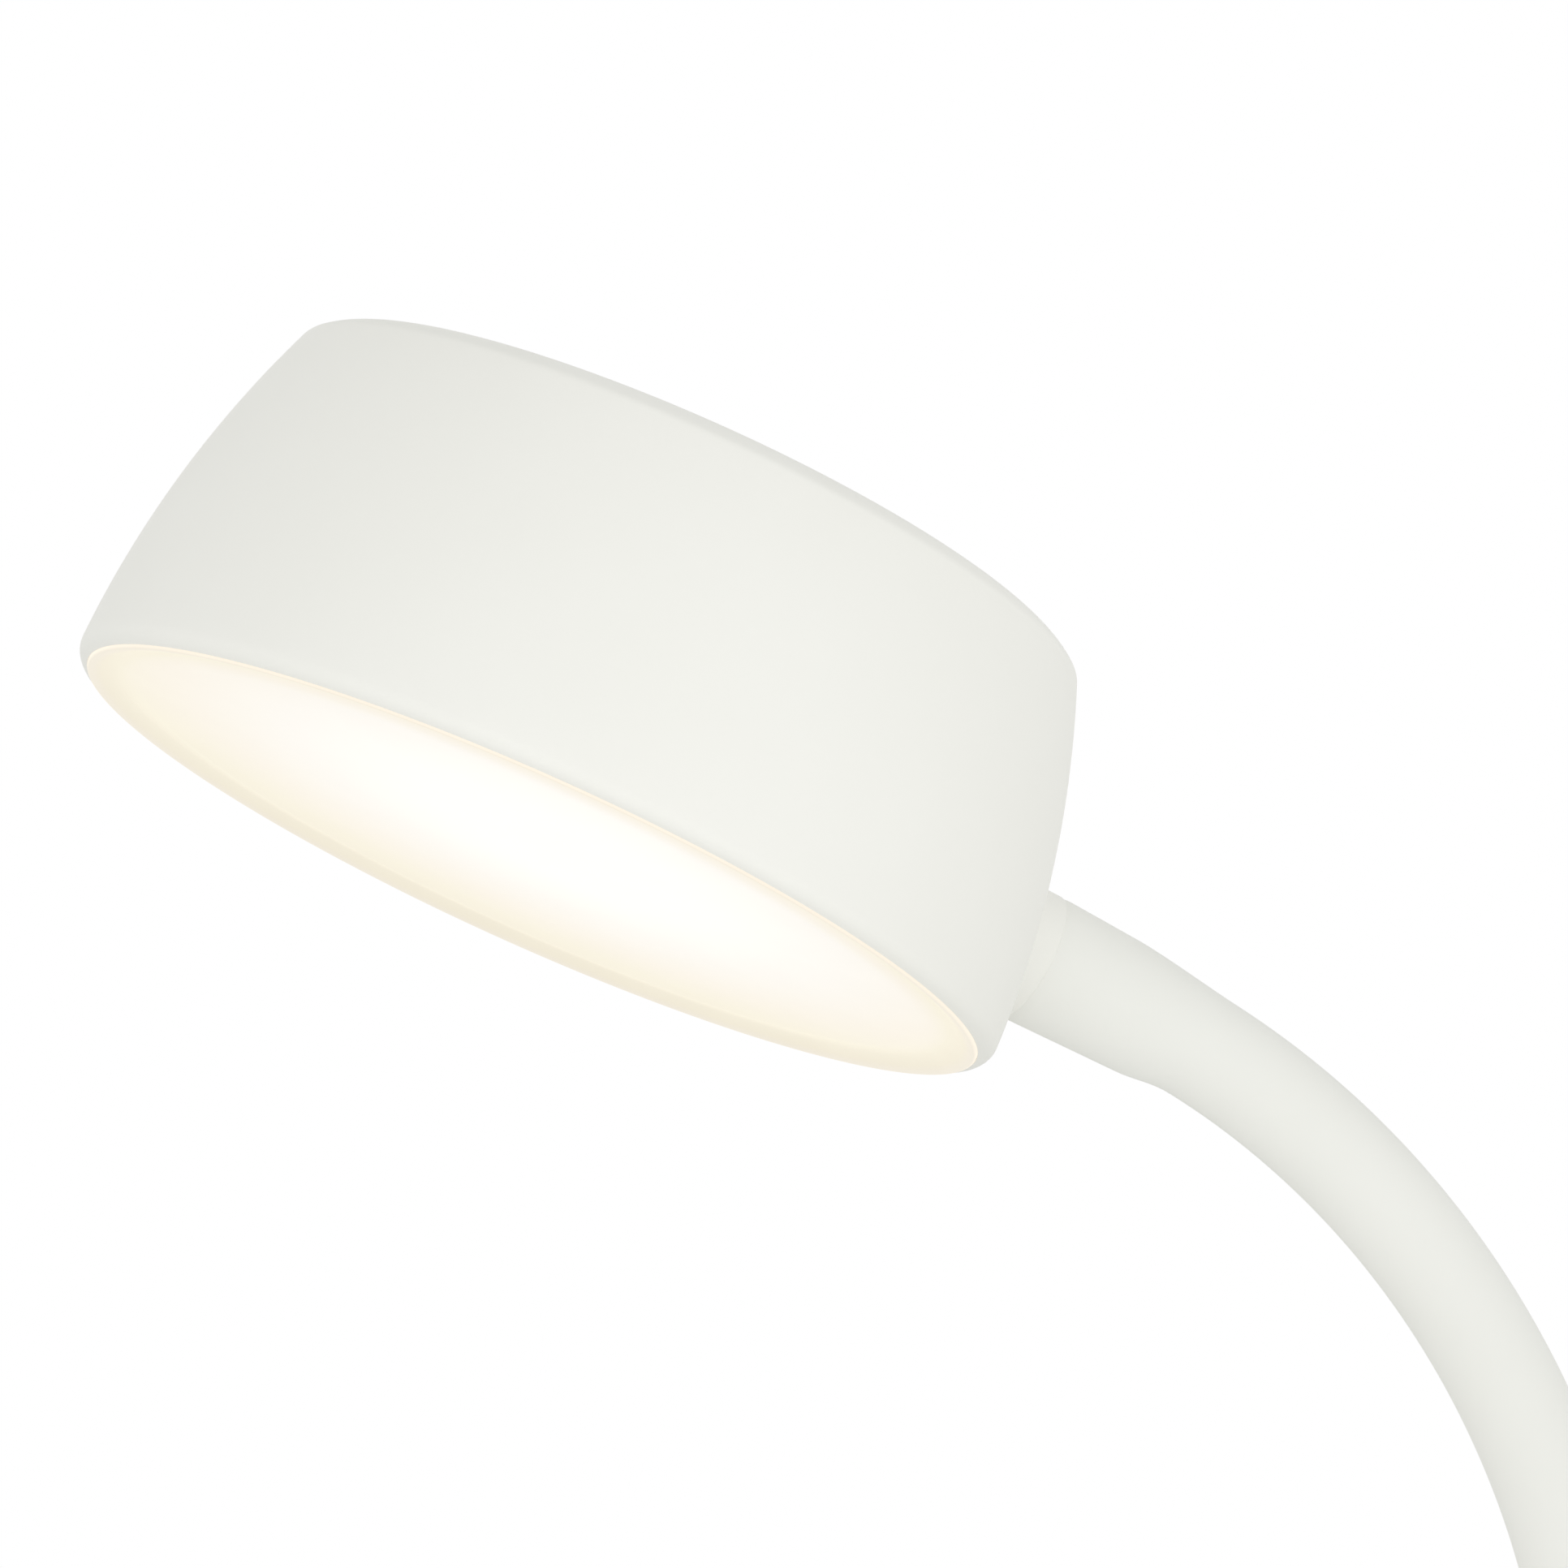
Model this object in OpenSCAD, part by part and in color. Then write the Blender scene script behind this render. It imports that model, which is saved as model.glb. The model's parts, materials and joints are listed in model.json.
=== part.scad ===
// Table lamp with a round drum head on a flexible neck and a weighted round base.
// The underside of the base's pad is centred on the origin, +Z is up and the head reaches towards -X.

/* [Head] */
// Outside diameter of the head at its open rim
head_d = 120; // [112:1:140]
// Height of the head from the rim to its top edge
head_h = 46.6; // [44:0.2:56]
// Diameter of the head's top edge
head_top_d = 101.8; // [98:0.2:108]
// How far the side wall swells past a straight taper
head_swell = 2; // [0.8:0.1:3]
// Radius of the rounded band between the top edge and the flat top
head_edge_r = 8.8; // [6:0.2:12]
// Thickness of the head's moulded wall
head_wall = 2.2; // [1.8:0.1:2.6]
// Radius of the rounded rim
head_lip = 2.2; // [1.2:0.1:2.8]
// Width of the rim seen around the diffuser
rim_w = 1.7; // [1.4:0.1:2.2]
// Height of the stem's axis above the rim
stem_up = 17.7; // [16.5:0.1:18.5]
// Distance from the head's axis to the outer end of its boss
stem_reach = 62.5; // [61.5:0.1:66]

/* [Light] */
// Thickness of the opal diffuser
diffuser_t = 1.8; // [1.4:0.1:2.2]
// How far the diffuser's lens swells below its edge
lens_swell = 1.6; // [0.8:0.1:3]
// Height of the diffuser's skirt above the rim
skirt_h = 3.8; // [3.4:0.1:4.4]
// Thickness of the reflector
reflector_t = 1.2; // [0.8:0.1:1.6]
// Inside diameter of the reflector's mouth
reflector_mouth_d = 90; // [84:1:91]
// Inside diameter of the reflector's small end
reflector_small_d = 71; // [66:1:72]
// Height of the light board's lower face above the rim
board_up = 27.4; // [27:0.1:30]
// Diameter of the light board
board_d = 90; // [89:0.5:92]
// Thickness of the light board
board_t = 1.6; // [1.2:0.1:2]
// Diameter of the aluminium cooling plate
plate_d = 95; // [93:0.5:97]
// Thickness of the aluminium cooling plate
plate_t = 2; // [1.5:0.1:3]
// Side of one light chip
chip_w = 3; // [2.2:0.1:3.4]
// Height of one light chip
chip_h = 0.8; // [0.6:0.1:1]
// Diameter of the outer ring of light chips
chip_ring_d = 54; // [52:1:58]
// Diameter of the inner ring of light chips
chip_inner_d = 28; // [22:1:30]
// Diameter of the circle of screws that hold the cooling plate
plate_screw_pcd = 80; // [79:0.5:81]
// Diameter of the circle of screws that hold the light board
board_screw_pcd = 41; // [39:0.5:42]

/* [Neck] */
// Outside diameter of the neck's sleeve
neck_d = 13.4; // [12.6:0.1:13.8]
// Wall of the neck's sleeve
sleeve_wall = 1.2; // [0.8:0.1:1.3]
// Diameter of the two-core lead inside the neck
lead_d = 3.2; // [2.4:0.1:3.4]
// Straight length from the base collar to the bend
straight_len = 121; // [110:1:160]
// Radius of the bend at the neck's centreline
bend_r = 106; // [95:1:130]
// Tilt of the head from level
head_tilt = 25.5; // [18:0.5:32]
// Diameter of the sleeve's thick end where it meets a collar
collar_d = 16.2; // [15.4:0.1:17]
// Diameter of the thick end where its step begins
collar_small_d = 15.2; // [14.6:0.1:15.4]
// Length of the sleeve's thick end
collar_len = 16.2; // [14:0.2:20]
// Length of the step from the thick end to the neck
step_len = 5; // [3:0.1:5.4]
// Length of neck held stiff at the base end
base_stiff_len = 30; // [27:1:36]
// Length of bend held stiff at the head end
head_stiff_len = 12; // [10:1:18]

/* [Base] */
// Outside diameter of the base
base_d = 130; // [126:1:150]
// Height of the base's wall
base_h = 23; // [22.4:0.2:27]
// Diameter of the base's top edge
base_top_d = 122; // [119:1:126]
// How far the base's wall swells past a straight taper
base_swell = 0.8; // [0.4:0.1:1.6]
// Rise of the base's domed top
base_dome = 3; // [2.4:0.1:4]
// Thickness of the base's moulded wall
base_wall = 2.4; // [2:0.1:2.8]
// Radius of the base's rounded lower edge
base_lip = 1; // [0.6:0.1:1.5]
// Gap between the base's wall and the table
base_gap = 1.2; // [0.8:0.1:1.4]
// Distance from the base's centre to the neck
neck_x = 38; // [36:0.5:42]
// Height of the neck's collar on the base
collar_z = 29; // [28.4:0.1:32]
// Thickness of the anti-slip pad
pad_t = 1.5; // [1.5:0.1:2]
// Diameter of the anti-slip pad
pad_d = 120; // [110:1:122]
// Thickness of the steel base plate
base_plate_t = 2; // [1.8:0.1:2.4]
// Diameter of the cast weight
weight_d = 100; // [94:1:101]
// Thickness of the cast weight
weight_t = 7.5; // [6:0.1:7.7]

/* [Switch] */
// Diameter of the push button
button_d = 19; // [14:0.5:20]
// Distance from the base's centre to the button
button_x = 28; // [26:0.5:29]
// How far the button stands above the cover beside it
button_proud = 1.3; // [1:0.1:2]
// Travel of the button
button_travel = 0.8; // [0.4:0.1:1]
// Side of the switch's square body
switch_w = 6; // [5:0.1:6.5]
// Length of the control board
control_l = 46; // [45:0.5:48]
// Width of the control board
control_w = 42; // [41:0.5:44]
// Thickness of the control board
control_t = 1.6; // [1.2:0.1:1.8]

/* [Power inlet] */
// Bore of the power socket
socket_d = 6.3; // [5.8:0.1:6.4]
// Diameter of the socket's centre pin
socket_pin_d = 2; // [1.6:0.1:2.5]
// Depth of the power socket
socket_depth = 9.5; // [8:0.1:10]
// Height of the socket's axis above the table
socket_z = 11; // [10.8:0.1:11.6]

/* [Hidden] */
$fn = 64;

// Clearances between pieces
fit_gap = 0.15;
slip_gap = 0.1;
screw_gap = 0.05;
lip_step = 0.04;
run_gap = 0.3;
lead_gap = 0.4;
cut_over = 1;

// Neck lengths between the stations where the neck flexes
straight_count = 3;
bend_count = 3;
length_count = straight_count + bend_count + 2;
station_gap = 2.2;
knuckle_gap = 0.3;
bend_deg = 90 - head_tilt;
bend_len = bend_r * bend_deg * PI / 180;
neck_len = straight_len + bend_len;
straight_pitch = (straight_len - base_stiff_len) / straight_count;
bend_pitch = (bend_len - head_stiff_len) / bend_count;
bend_centre = [neck_x - bend_r, 0, collar_z + straight_len];
core_r = neck_d / 2 - sleeve_wall - slip_gap;
knuckle_inset = 1.2;
knuckle_r = core_r - knuckle_inset;
core_crimp = 0.3;
core_end_r = core_r - core_crimp;
core_bore_r = lead_d / 2 + lead_gap / 2;
core_end_bore_r = core_bore_r + core_crimp;
knuckle_flare = 1.1;
knuckle_bore_r = core_bore_r + knuckle_flare;
lead_end_gap = 0.45;
end_lap = 2;
step_lip = 0.25;
lead_sides = 10;
turn_steps = 6;

// Threaded ferrule, washer and nut at each end of the neck
ferrule_wall = 1.2;
ferrule_r = core_end_r + ferrule_wall;
ferrule_len = collar_len - 1;
ferrule_floor = 3;
stub_r = 5;
stub_hole_r = stub_r + fit_gap;
washer_r = 8.5;
washer_t = 1;
nut_w = 14;
nut_t = 4;
stub_past_nut = 1;
seat_edge = 0.5;
seat_r = washer_r + seat_edge;
seat_skin = 1;

// Head
rim_r = head_d / 2;
top_r = head_top_d / 2;
head_edge_deg = 47;
head_edge_steps = 8;
head_edge_centre = [top_r, head_h] - head_edge_r * [cos(head_edge_deg), sin(head_edge_deg)];
head_edge_run = (rim_r + cut_over - top_r) / sin(head_edge_deg);
head_top = head_edge_centre.y + head_edge_r;
mouth_r = rim_r - rim_w;
diffuser_r = mouth_r - fit_gap;
skirt_w = 1.8;
bead_r = skirt_w / 2;
bead_low = 0.2;
lens_edge = 0.5;
lens_r = diffuser_r - bead_r;
ledge_w = 1.4;
ledge_h = 1.6;
ledge_low = skirt_h + reflector_t;
reflector_r = mouth_r - fit_gap;
reflector_gap = 1.2;
reflector_top = board_up - reflector_gap;
head_seat_in = 8;
head_seat_x = rim_r - head_seat_in;
head_stub_end = head_seat_x - washer_t - nut_t - stub_past_nut;
plate_up = board_up + board_t;
post_r = 4.2;
post_hole_depth = 10;
plate_screw_r = 1.45;
plate_screw_head_r = 2.6;
plate_screw_head_h = 1.8;
plate_screw_bite = 8;
board_screw_r = 1.2;
board_screw_head_r = 2.2;
board_screw_head_h = 1.5;
screw_count = 3;
plate_screw_turn = 60;
board_screw_turn = 30;
chips_outer = 16;
chips_inner = 8;
plug_l = 5;
plug_w = 7;
plug_h = 3;
lead_turn_r = 2.5;
lead_run = 1;
head_plug_x = head_stub_end - lead_run - lead_turn_r;

// Base
base_rim_r = base_d / 2;
base_top_r = base_top_d / 2;
base_plate_r = base_rim_r - base_wall - run_gap;
base_plate_top = pad_t + base_plate_t;
base_boss_l = 8;
base_seat_z = collar_z - base_boss_l;
weight_top = base_plate_top + weight_t;
weight_notch_in = 4;
weight_notch_x = neck_x + weight_notch_in;
weight_notch_w = 26;
weight_screw_pcd = 60;
weight_screw_r = 1.9;
weight_screw_bite = 6;
base_post_r = 3.6;
base_post_gap = 0.5;
base_post_pcd = weight_d + 2 * (base_post_r + base_post_gap);
base_post_count = 4;
base_post_turn = 45;
base_screw_r = 1.4;
base_screw_bite = 10;
sunk_head_r = 2.9;
sunk_head_h = 1.5;

// Switch, control board and its parts
button_r = button_d / 2;
button_hole_r = button_r + run_gap;
button_top = base_top_z(button_x) + button_proud;
button_flange_w = 1.7;
button_flange_t = 1.2;
button_edge = 0.8;
button_guide_w = 3.2;
guide_drop = 0.4;
guide_low = base_top_z(button_x + button_hole_r + button_guide_w) - base_wall - guide_drop;
flange_top = guide_low - run_gap;
button_stem_r = 2;
button_stem_l = 0.9;
plunger_r = 1.6;
plunger_top = flange_top - button_flange_t - button_stem_l;
plunger_in = 1;
press_gap = 0.3;
switch_top = plunger_top - button_travel - press_gap;
switch_h = 2.9;
switch_floor = 0.4;
control_top = switch_top - switch_h;
control_low = control_top - control_t;
control_x = -4;
control_boss_r = 3.4;
control_screw_r = 1.2;
control_screw_head_r = 2.3;
control_screw_head_h = 1.4;
control_screw_bite = 5;
control_screw_in = 4;
control_screw_back = 6;
control_screws = [
    [control_x - control_l + control_screw_in, 0],
    [control_x - control_screw_back, control_w / 2 - control_screw_in],
    [control_x - control_screw_back, control_screw_in - control_w / 2]
];
coil_r = 4;
coil_h = 3;
coil_core_r = 2.4;
coil_flange_t = 0.8;
part_off = [13, 11];
coil_at = [-button_x - part_off.x, part_off.y];
can_r = 2.5;
can_h = 5;
can_y = 9;
can_at = [[-button_x + part_off.x, can_y], [-button_x + part_off.x, -can_y]];
driver_size = [5, 4, 1.5];
driver_at = [-button_x - part_off.x, -part_off.y];
inlet_y = 9;
plug_in = 1;
plug_x = control_x - plug_in;
base_plug_h = control_low - weight_top - lead_gap;
base_lead_z = weight_top + lead_d / 2 + lead_gap;
base_lead_turn_r = 3.5;

// Power socket in the base's rear wall
jack_sink = 1.8;
jack_seat_x = base_wall_r(socket_z) - jack_sink;
jack_flange_r = 5.6;
jack_flange_t = 1.6;
jack_recess_r = jack_flange_r + run_gap;
jack_wall = 0.75;
jack_barrel_r = socket_d / 2 + jack_wall;
jack_hole_r = jack_barrel_r + fit_gap;
jack_pad_r = 7.5;
jack_pad_t = 3.1;
jack_nut_w = 11;
jack_nut_t = 2.5;
jack_nut_room = jack_nut_t + run_gap;
jack_back = 2;
jack_len = socket_depth + jack_back - jack_flange_t;
jack_tail = 3.5;
jack_tab = [2.2, 2.4, 0.5];
jack_tab_gap = 0.5;
inlet_lead_r = 1.3;
inlet_lead_z = weight_top + inlet_lead_r + lead_gap;
inlet_start_l = 1;
inlet_drop_l = 3;
inlet_drop_y = 2;
inlet_turn = 3;

// Colours
shell_white = [0.90, 0.91, 0.87];
opal_white = [1.0, 0.96, 0.87];
sleeve_white = [0.89, 0.90, 0.86];
bright_metal = [0.78, 0.79, 0.80];
plated_steel = [0.62, 0.63, 0.65];
brass_yellow = [0.80, 0.66, 0.35];
iron_grey = [0.28, 0.28, 0.29];
board_green = [0.10, 0.36, 0.22];
chip_yellow = [0.96, 0.84, 0.40];
plug_cream = [0.93, 0.91, 0.84];
lead_grey = [0.55, 0.56, 0.57];
part_black = [0.10, 0.10, 0.11];
coil_copper = [0.72, 0.42, 0.22];
pad_grey = [0.22, 0.22, 0.23];

// Arc through two points of a profile, standing out by swell at its middle: radius and centre
function arc_r(a, b, swell) = pow(norm(b - a), 2) / (8 * swell) + swell / 2;
function arc_out(a, b) = [(b - a).y, -(b - a).x] / norm(b - a);
function arc_centre(a, b, swell) = (a + b) / 2 - (arc_r(a, b, swell) - swell) * arc_out(a, b);

// Radius of a dome that rises by rise over a circle of radius r
function dome_r(r, rise) = (r * r + rise * rise) / (2 * rise);

// Point k of the rounded band round the head's top
function head_edge_point(r, k) =
    let (a = head_edge_deg + k * (90 - head_edge_deg) / head_edge_steps)
    head_edge_centre + r * [cos(a), sin(a)];

// Height of the base's domed top at a distance from its centre
function base_top_z(x) = base_gap + base_h + base_dome - dome_r(base_top_r, base_dome)
    + sqrt(pow(dome_r(base_top_r, base_dome), 2) - x * x);

// Radius of the base's wall at a height
function base_wall_r(z) =
    let (a = [base_rim_r, base_lip], b = [base_top_r, base_h], c = arc_centre(a, b, base_swell))
    c.x + sqrt(pow(arc_r(a, b, base_swell), 2) - pow(z - base_gap - c.y, 2));

// Distance of a flex station along the neck from the base collar
function station(i) = i <= straight_count + 1
    ? base_stiff_len + (i - 1) * straight_pitch
    : straight_len + (i - 1 - straight_count) * bend_pitch;
function bend_at(s) = (s - straight_len) / bend_r * 180 / PI;
function neck_point(s) = s <= straight_len
    ? [neck_x, 0, collar_z + s]
    : bend_centre + bend_r * [cos(bend_at(s)), 0, sin(bend_at(s))];

// Point in the head's frame, in the plane of the bend
function head_point(x, z) = neck_point(neck_len)
    + (stem_reach + collar_len - x) * [-sin(bend_deg), 0, cos(bend_deg)]
    + (z - stem_up) * [cos(bend_deg), 0, sin(bend_deg)];

// Quarter turn of a lead between two directions, about a centre
function quarter(centre, r, a, b) =
    [for (k = [0:turn_steps]) centre + r * (cos(k * 90 / turn_steps) * a + sin(k * 90 / turn_steps) * b)];

// Rings and faces of a swept lead
function unit(v) = v / norm(v);
function lead_way(p, i) = unit(p[min(i + 1, len(p) - 1)] - p[max(i - 1, 0)]);
function lead_ring(p, i, r, across) =
    let (way = lead_way(p, i), a = unit(cross(way, across)), b = cross(way, a))
    [for (k = [0:lead_sides - 1]) p[i] + r * (cos(k * 360 / lead_sides) * a + sin(k * 360 / lead_sides) * b)];
function lead_faces(i, k) =
    let (n = (k + 1) % lead_sides, low = i * lead_sides, high = low + lead_sides)
    [[low + k, high + k, high + n], [low + k, high + n, low + n]];

function length_start(i) = i == 1 ? 0 : station(i - 1);
function length_end(i) = i == length_count ? neck_len : station(i);

// Circle of a drum's wall, which swells between its lip and its top edge
module wall_circle(rim, top, height, swell, lip, inset) {
    a = [rim, lip];
    b = [top, height];
    translate(arc_centre(a, b, swell))
        circle(r = arc_r(a, b, swell) - inset, $fn = 200);
}

// Rounded foot of a drum's outer profile, up to the height of its lip and a hair inside its wall
module lip_profile(rim, lip) {
    inner = rim - lip_step - lip;
    square([inner, lip]);
    translate([inner, 0])
        intersection() {
            translate([0, lip])
                circle(r = lip);
            square([lip, lip]);
        }
}

// Half profile of the head: its wall, a crisp top edge and a rounded band up to the flat top
module head_profile(inset = 0, low = head_lip) {
    r = head_edge_r - inset;
    intersection() {
        wall_circle(rim_r, top_r, head_h, head_swell, head_lip, inset);
        polygon(concat(
            [[0, low], [rim_r + cut_over, low]],
            [head_edge_point(r, 0) + head_edge_run * [sin(head_edge_deg), -cos(head_edge_deg)]],
            [for (k = [0:head_edge_steps]) head_edge_point(r, k)],
            [[0, head_edge_centre.y + r]]
        ));
    }
}

// Half profile of the base: its wall under a domed top
module base_profile(inset = 0, low = base_lip) {
    ball = dome_r(base_top_r, base_dome);
    intersection() {
        wall_circle(base_rim_r, base_top_r, base_h, base_swell, base_lip, inset);
        translate([0, base_h + base_dome - ball])
            circle(r = ball - inset, $fn = 200);
        translate([0, low])
            square([base_rim_r + cut_over, base_h + base_dome - low + cut_over]);
    }
}

// Copies spaced evenly on a circle
module around(count, pcd, turn = 0) {
    for (i = [0:count - 1])
        rotate([0, 0, turn + i * 360 / count])
            translate([pcd / 2, 0, 0])
                children();
}

// Frame on the neck's centreline, with +Z along the neck towards the head
module on_neck(s) {
    if (s <= straight_len)
        translate([neck_x, 0, collar_z + s])
            children();
    else
        translate(bend_centre)
            rotate([0, -bend_at(s), 0])
                translate([bend_r, 0, 0])
                    children();
}

// Round bar along the neck, all of it on one side of the start of the bend
module neck_bar(from, to, r) {
    if (to <= straight_len)
        on_neck(from)
            cylinder(r = r, h = to - from);
    else
        translate(bend_centre)
            rotate([90, 0, 0])
                rotate([0, 0, bend_at(from)])
                    rotate_extrude(angle = bend_at(to) - bend_at(from), $fn = 128)
                        translate([bend_r, 0])
                            circle(r = r);
}

// Frame of the head: rim centre at the origin, +Z up the head's axis, +X towards the neck
module in_head() {
    on_neck(neck_len)
        translate([-stem_up, 0, stem_reach + collar_len])
            rotate([0, 90, 0])
                children();
}

// Frames of the two ferrules, with the neck along +Z from the collar's face
module at_base_collar() {
    translate([neck_x, 0, collar_z])
        children();
}

module at_head_collar() {
    in_head()
        translate([stem_reach, 0, stem_up])
            rotate([0, 90, 0])
                children();
}

// Axis of flex station i, along +Z: in the bend's plane at odd stations and across it at even ones
module hinge_axis(i) {
    on_neck(station(i))
        rotate(i % 2 == 1 ? [90, 0, 0] : [0, 90, 0])
            children();
}

module bar_from(z0, z1, r) {
    translate([0, 0, z0])
        cylinder(r = r, h = z1 - z0);
}

// Hexagonal nut of a width across flats
module hex_bar(width, h) {
    cylinder(d = width / cos(30), h = h, $fn = 6);
}

// Screw with a flat head below z = 0 and its shank above
module pan_screw(r, length, head_r, head_h) {
    bar_from(0, length, r);
    bar_from(-head_h, 0, head_r);
}

// Countersunk screw with its flat face at z = 0 and its shank above
module sunk_screw(r, length) {
    cylinder(r1 = sunk_head_r, r2 = r, h = sunk_head_h);
    bar_from(sunk_head_h / 2, length, r);
}

module sunk_hole(r, length) {
    translate([0, 0, -cut_over])
        cylinder(r = sunk_head_r + screw_gap, h = cut_over);
    cylinder(r1 = sunk_head_r + screw_gap, r2 = r + screw_gap, h = sunk_head_h);
    bar_from(sunk_head_h / 2, length, r + screw_gap);
}

// Round lead swept through a list of points, none of them in line with the direction called across
module swept_lead(points, r, across) {
    last = len(points) - 1;
    polyhedron(
        points = [for (i = [0:last]) each lead_ring(points, i, r, across)],
        faces = concat(
            [[for (k = [0:lead_sides - 1]) k]],
            [[for (k = [lead_sides - 1:-1:0]) last * lead_sides + k]],
            [for (i = [0:last - 1], k = [0:lead_sides - 1]) each lead_faces(i, k)]
        )
    );
}

module head_shell() {
    color(shell_white)
        in_head()
            difference() {
                union() {
                    rotate_extrude($fn = 200)
                        difference() {
                            union() {
                                head_profile();
                                lip_profile(rim_r, head_lip);
                            }
                            head_profile(head_wall, -cut_over);
                        }
                    // Ledge that the reflector's flange seats against
                    translate([0, 0, ledge_low])
                        difference() {
                            cylinder(r = mouth_r, h = ledge_h, $fn = 200);
                            translate([0, 0, -cut_over])
                                cylinder(r = mouth_r - ledge_w, h = ledge_h + 2 * cut_over, $fn = 200);
                        }
                    // Screw posts and the flat seat for the stem's washer
                    intersection() {
                        rotate_extrude($fn = 200)
                            head_profile(seat_skin);
                        union() {
                            around(screw_count, plate_screw_pcd, plate_screw_turn)
                                bar_from(plate_up + plate_t, head_top, post_r);
                            translate([head_seat_x, 0, stem_up])
                                rotate([0, 90, 0])
                                    cylinder(r = seat_r, h = rim_r - head_seat_x);
                        }
                    }
                    translate([head_seat_x, 0, stem_up])
                        rotate([0, 90, 0])
                            cylinder(d = collar_d, h = stem_reach - head_seat_x);
                }
                bar_from(-cut_over, ledge_low, mouth_r, $fn = 200);
                around(screw_count, plate_screw_pcd, plate_screw_turn)
                    bar_from(plate_up, plate_up + plate_t + post_hole_depth, plate_screw_r + screw_gap);
                translate([head_seat_x - cut_over, 0, stem_up])
                    rotate([0, 90, 0])
                        cylinder(r = stub_hole_r, h = stem_reach - head_seat_x + 2 * cut_over);
                // Room for the sleeve's thick end past the boss
                translate([stem_reach, 0, stem_up])
                    rotate([0, 90, 0])
                        cylinder(r = collar_d / 2 + run_gap, h = head_d);
            }
}

module diffuser() {
    lens_ball = dome_r(lens_r, lens_swell);
    lens_centre = bead_low + lens_edge - lens_swell + lens_ball;
    color(opal_white)
        in_head()
            rotate_extrude($fn = 200) {
                difference() {
                    intersection() {
                        translate([0, lens_centre])
                            circle(r = lens_ball, $fn = 200);
                        translate([0, -lens_swell])
                            square([lens_r, lens_swell + bead_low + lens_edge + diffuser_t]);
                    }
                    translate([0, lens_centre])
                        circle(r = lens_ball - diffuser_t, $fn = 200);
                }
                translate([diffuser_r - bead_r, bead_low + bead_r])
                    circle(r = bead_r);
                translate([diffuser_r - skirt_w, bead_low + bead_r])
                    square([skirt_w, skirt_h - bead_low - bead_r]);
            }
}

module reflector() {
    mouth = reflector_mouth_d / 2;
    small = reflector_small_d / 2;
    color(shell_white)
        in_head()
            rotate_extrude($fn = 200)
                polygon([
                    [mouth, skirt_h],
                    [reflector_r, skirt_h],
                    [reflector_r, ledge_low],
                    [mouth + reflector_t, ledge_low],
                    [small + reflector_t, reflector_top],
                    [small, reflector_top]
                ]);
}

module cooling_plate() {
    color(bright_metal)
        in_head()
            difference() {
                bar_from(plate_up, plate_up + plate_t, plate_d / 2);
                around(screw_count, plate_screw_pcd, plate_screw_turn)
                    bar_from(plate_up - cut_over, plate_up + plate_t + cut_over, plate_screw_r + screw_gap);
                around(screw_count, board_screw_pcd, board_screw_turn)
                    bar_from(plate_up - cut_over, plate_up + plate_t + cut_over, board_screw_r + screw_gap);
            }
}

module light_board() {
    color(shell_white)
        in_head()
            difference() {
                bar_from(board_up, plate_up, board_d / 2);
                around(screw_count, plate_screw_pcd, plate_screw_turn)
                    bar_from(board_up - cut_over, plate_up + cut_over, plate_screw_r + screw_gap);
                around(screw_count, board_screw_pcd, board_screw_turn)
                    bar_from(board_up - cut_over, plate_up + cut_over, board_screw_r + screw_gap);
            }
}

module light_chips() {
    color(chip_yellow)
        in_head() {
            around(chips_outer, chip_ring_d)
                translate([-chip_w / 2, -chip_w / 2, board_up - chip_h])
                    cube([chip_w, chip_w, chip_h]);
            around(chips_inner, chip_inner_d)
                translate([-chip_w / 2, -chip_w / 2, board_up - chip_h])
                    cube([chip_w, chip_w, chip_h]);
        }
}

module light_plug() {
    color(plug_cream)
        in_head()
            translate([head_plug_x - plug_l / 2, -plug_w / 2, board_up - plug_h])
                cube([plug_l, plug_w, plug_h]);
}

module plate_screws() {
    color(plated_steel)
        in_head()
            around(screw_count, plate_screw_pcd, plate_screw_turn)
                translate([0, 0, board_up])
                    pan_screw(plate_screw_r, board_t + plate_t + plate_screw_bite,
                              plate_screw_head_r, plate_screw_head_h);
}

module light_board_screws() {
    color(plated_steel)
        in_head()
            around(screw_count, board_screw_pcd, board_screw_turn)
                translate([0, 0, board_up])
                    pan_screw(board_screw_r, board_t + plate_t, board_screw_head_r, board_screw_head_h);
}

// Ferrule with its cup towards the neck and its threaded stub through a seat of a thickness
module ferrule(seat_depth) {
    stub_end = seat_depth + washer_t + nut_t + stub_past_nut;
    color(bright_metal)
        difference() {
            union() {
                cylinder(r = ferrule_r, h = ferrule_len);
                bar_from(-stub_end, cut_over, stub_r);
            }
            bar_from(ferrule_floor, ferrule_len + cut_over, core_end_r + screw_gap);
            bar_from(-stub_end - cut_over, ferrule_len, core_end_bore_r);
        }
}

module seat_washer(seat_depth) {
    color(plated_steel)
        translate([0, 0, -seat_depth - washer_t])
            difference() {
                cylinder(r = washer_r, h = washer_t);
                translate([0, 0, -cut_over])
                    cylinder(r = stub_hole_r, h = washer_t + 2 * cut_over);
            }
}

module seat_nut(seat_depth) {
    color(plated_steel)
        translate([0, 0, -seat_depth - washer_t - nut_t])
            difference() {
                hex_bar(nut_w, nut_t);
                translate([0, 0, -cut_over])
                    cylinder(r = stub_r + screw_gap, h = nut_t + 2 * cut_over);
            }
}

module upper_ferrule() {
    at_head_collar()
        ferrule(stem_reach - head_seat_x);
}

module upper_washer() {
    at_head_collar()
        seat_washer(stem_reach - head_seat_x);
}

module upper_nut() {
    at_head_collar()
        seat_nut(stem_reach - head_seat_x);
}

module lower_ferrule() {
    at_base_collar()
        ferrule(collar_z - base_seat_z);
}

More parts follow.
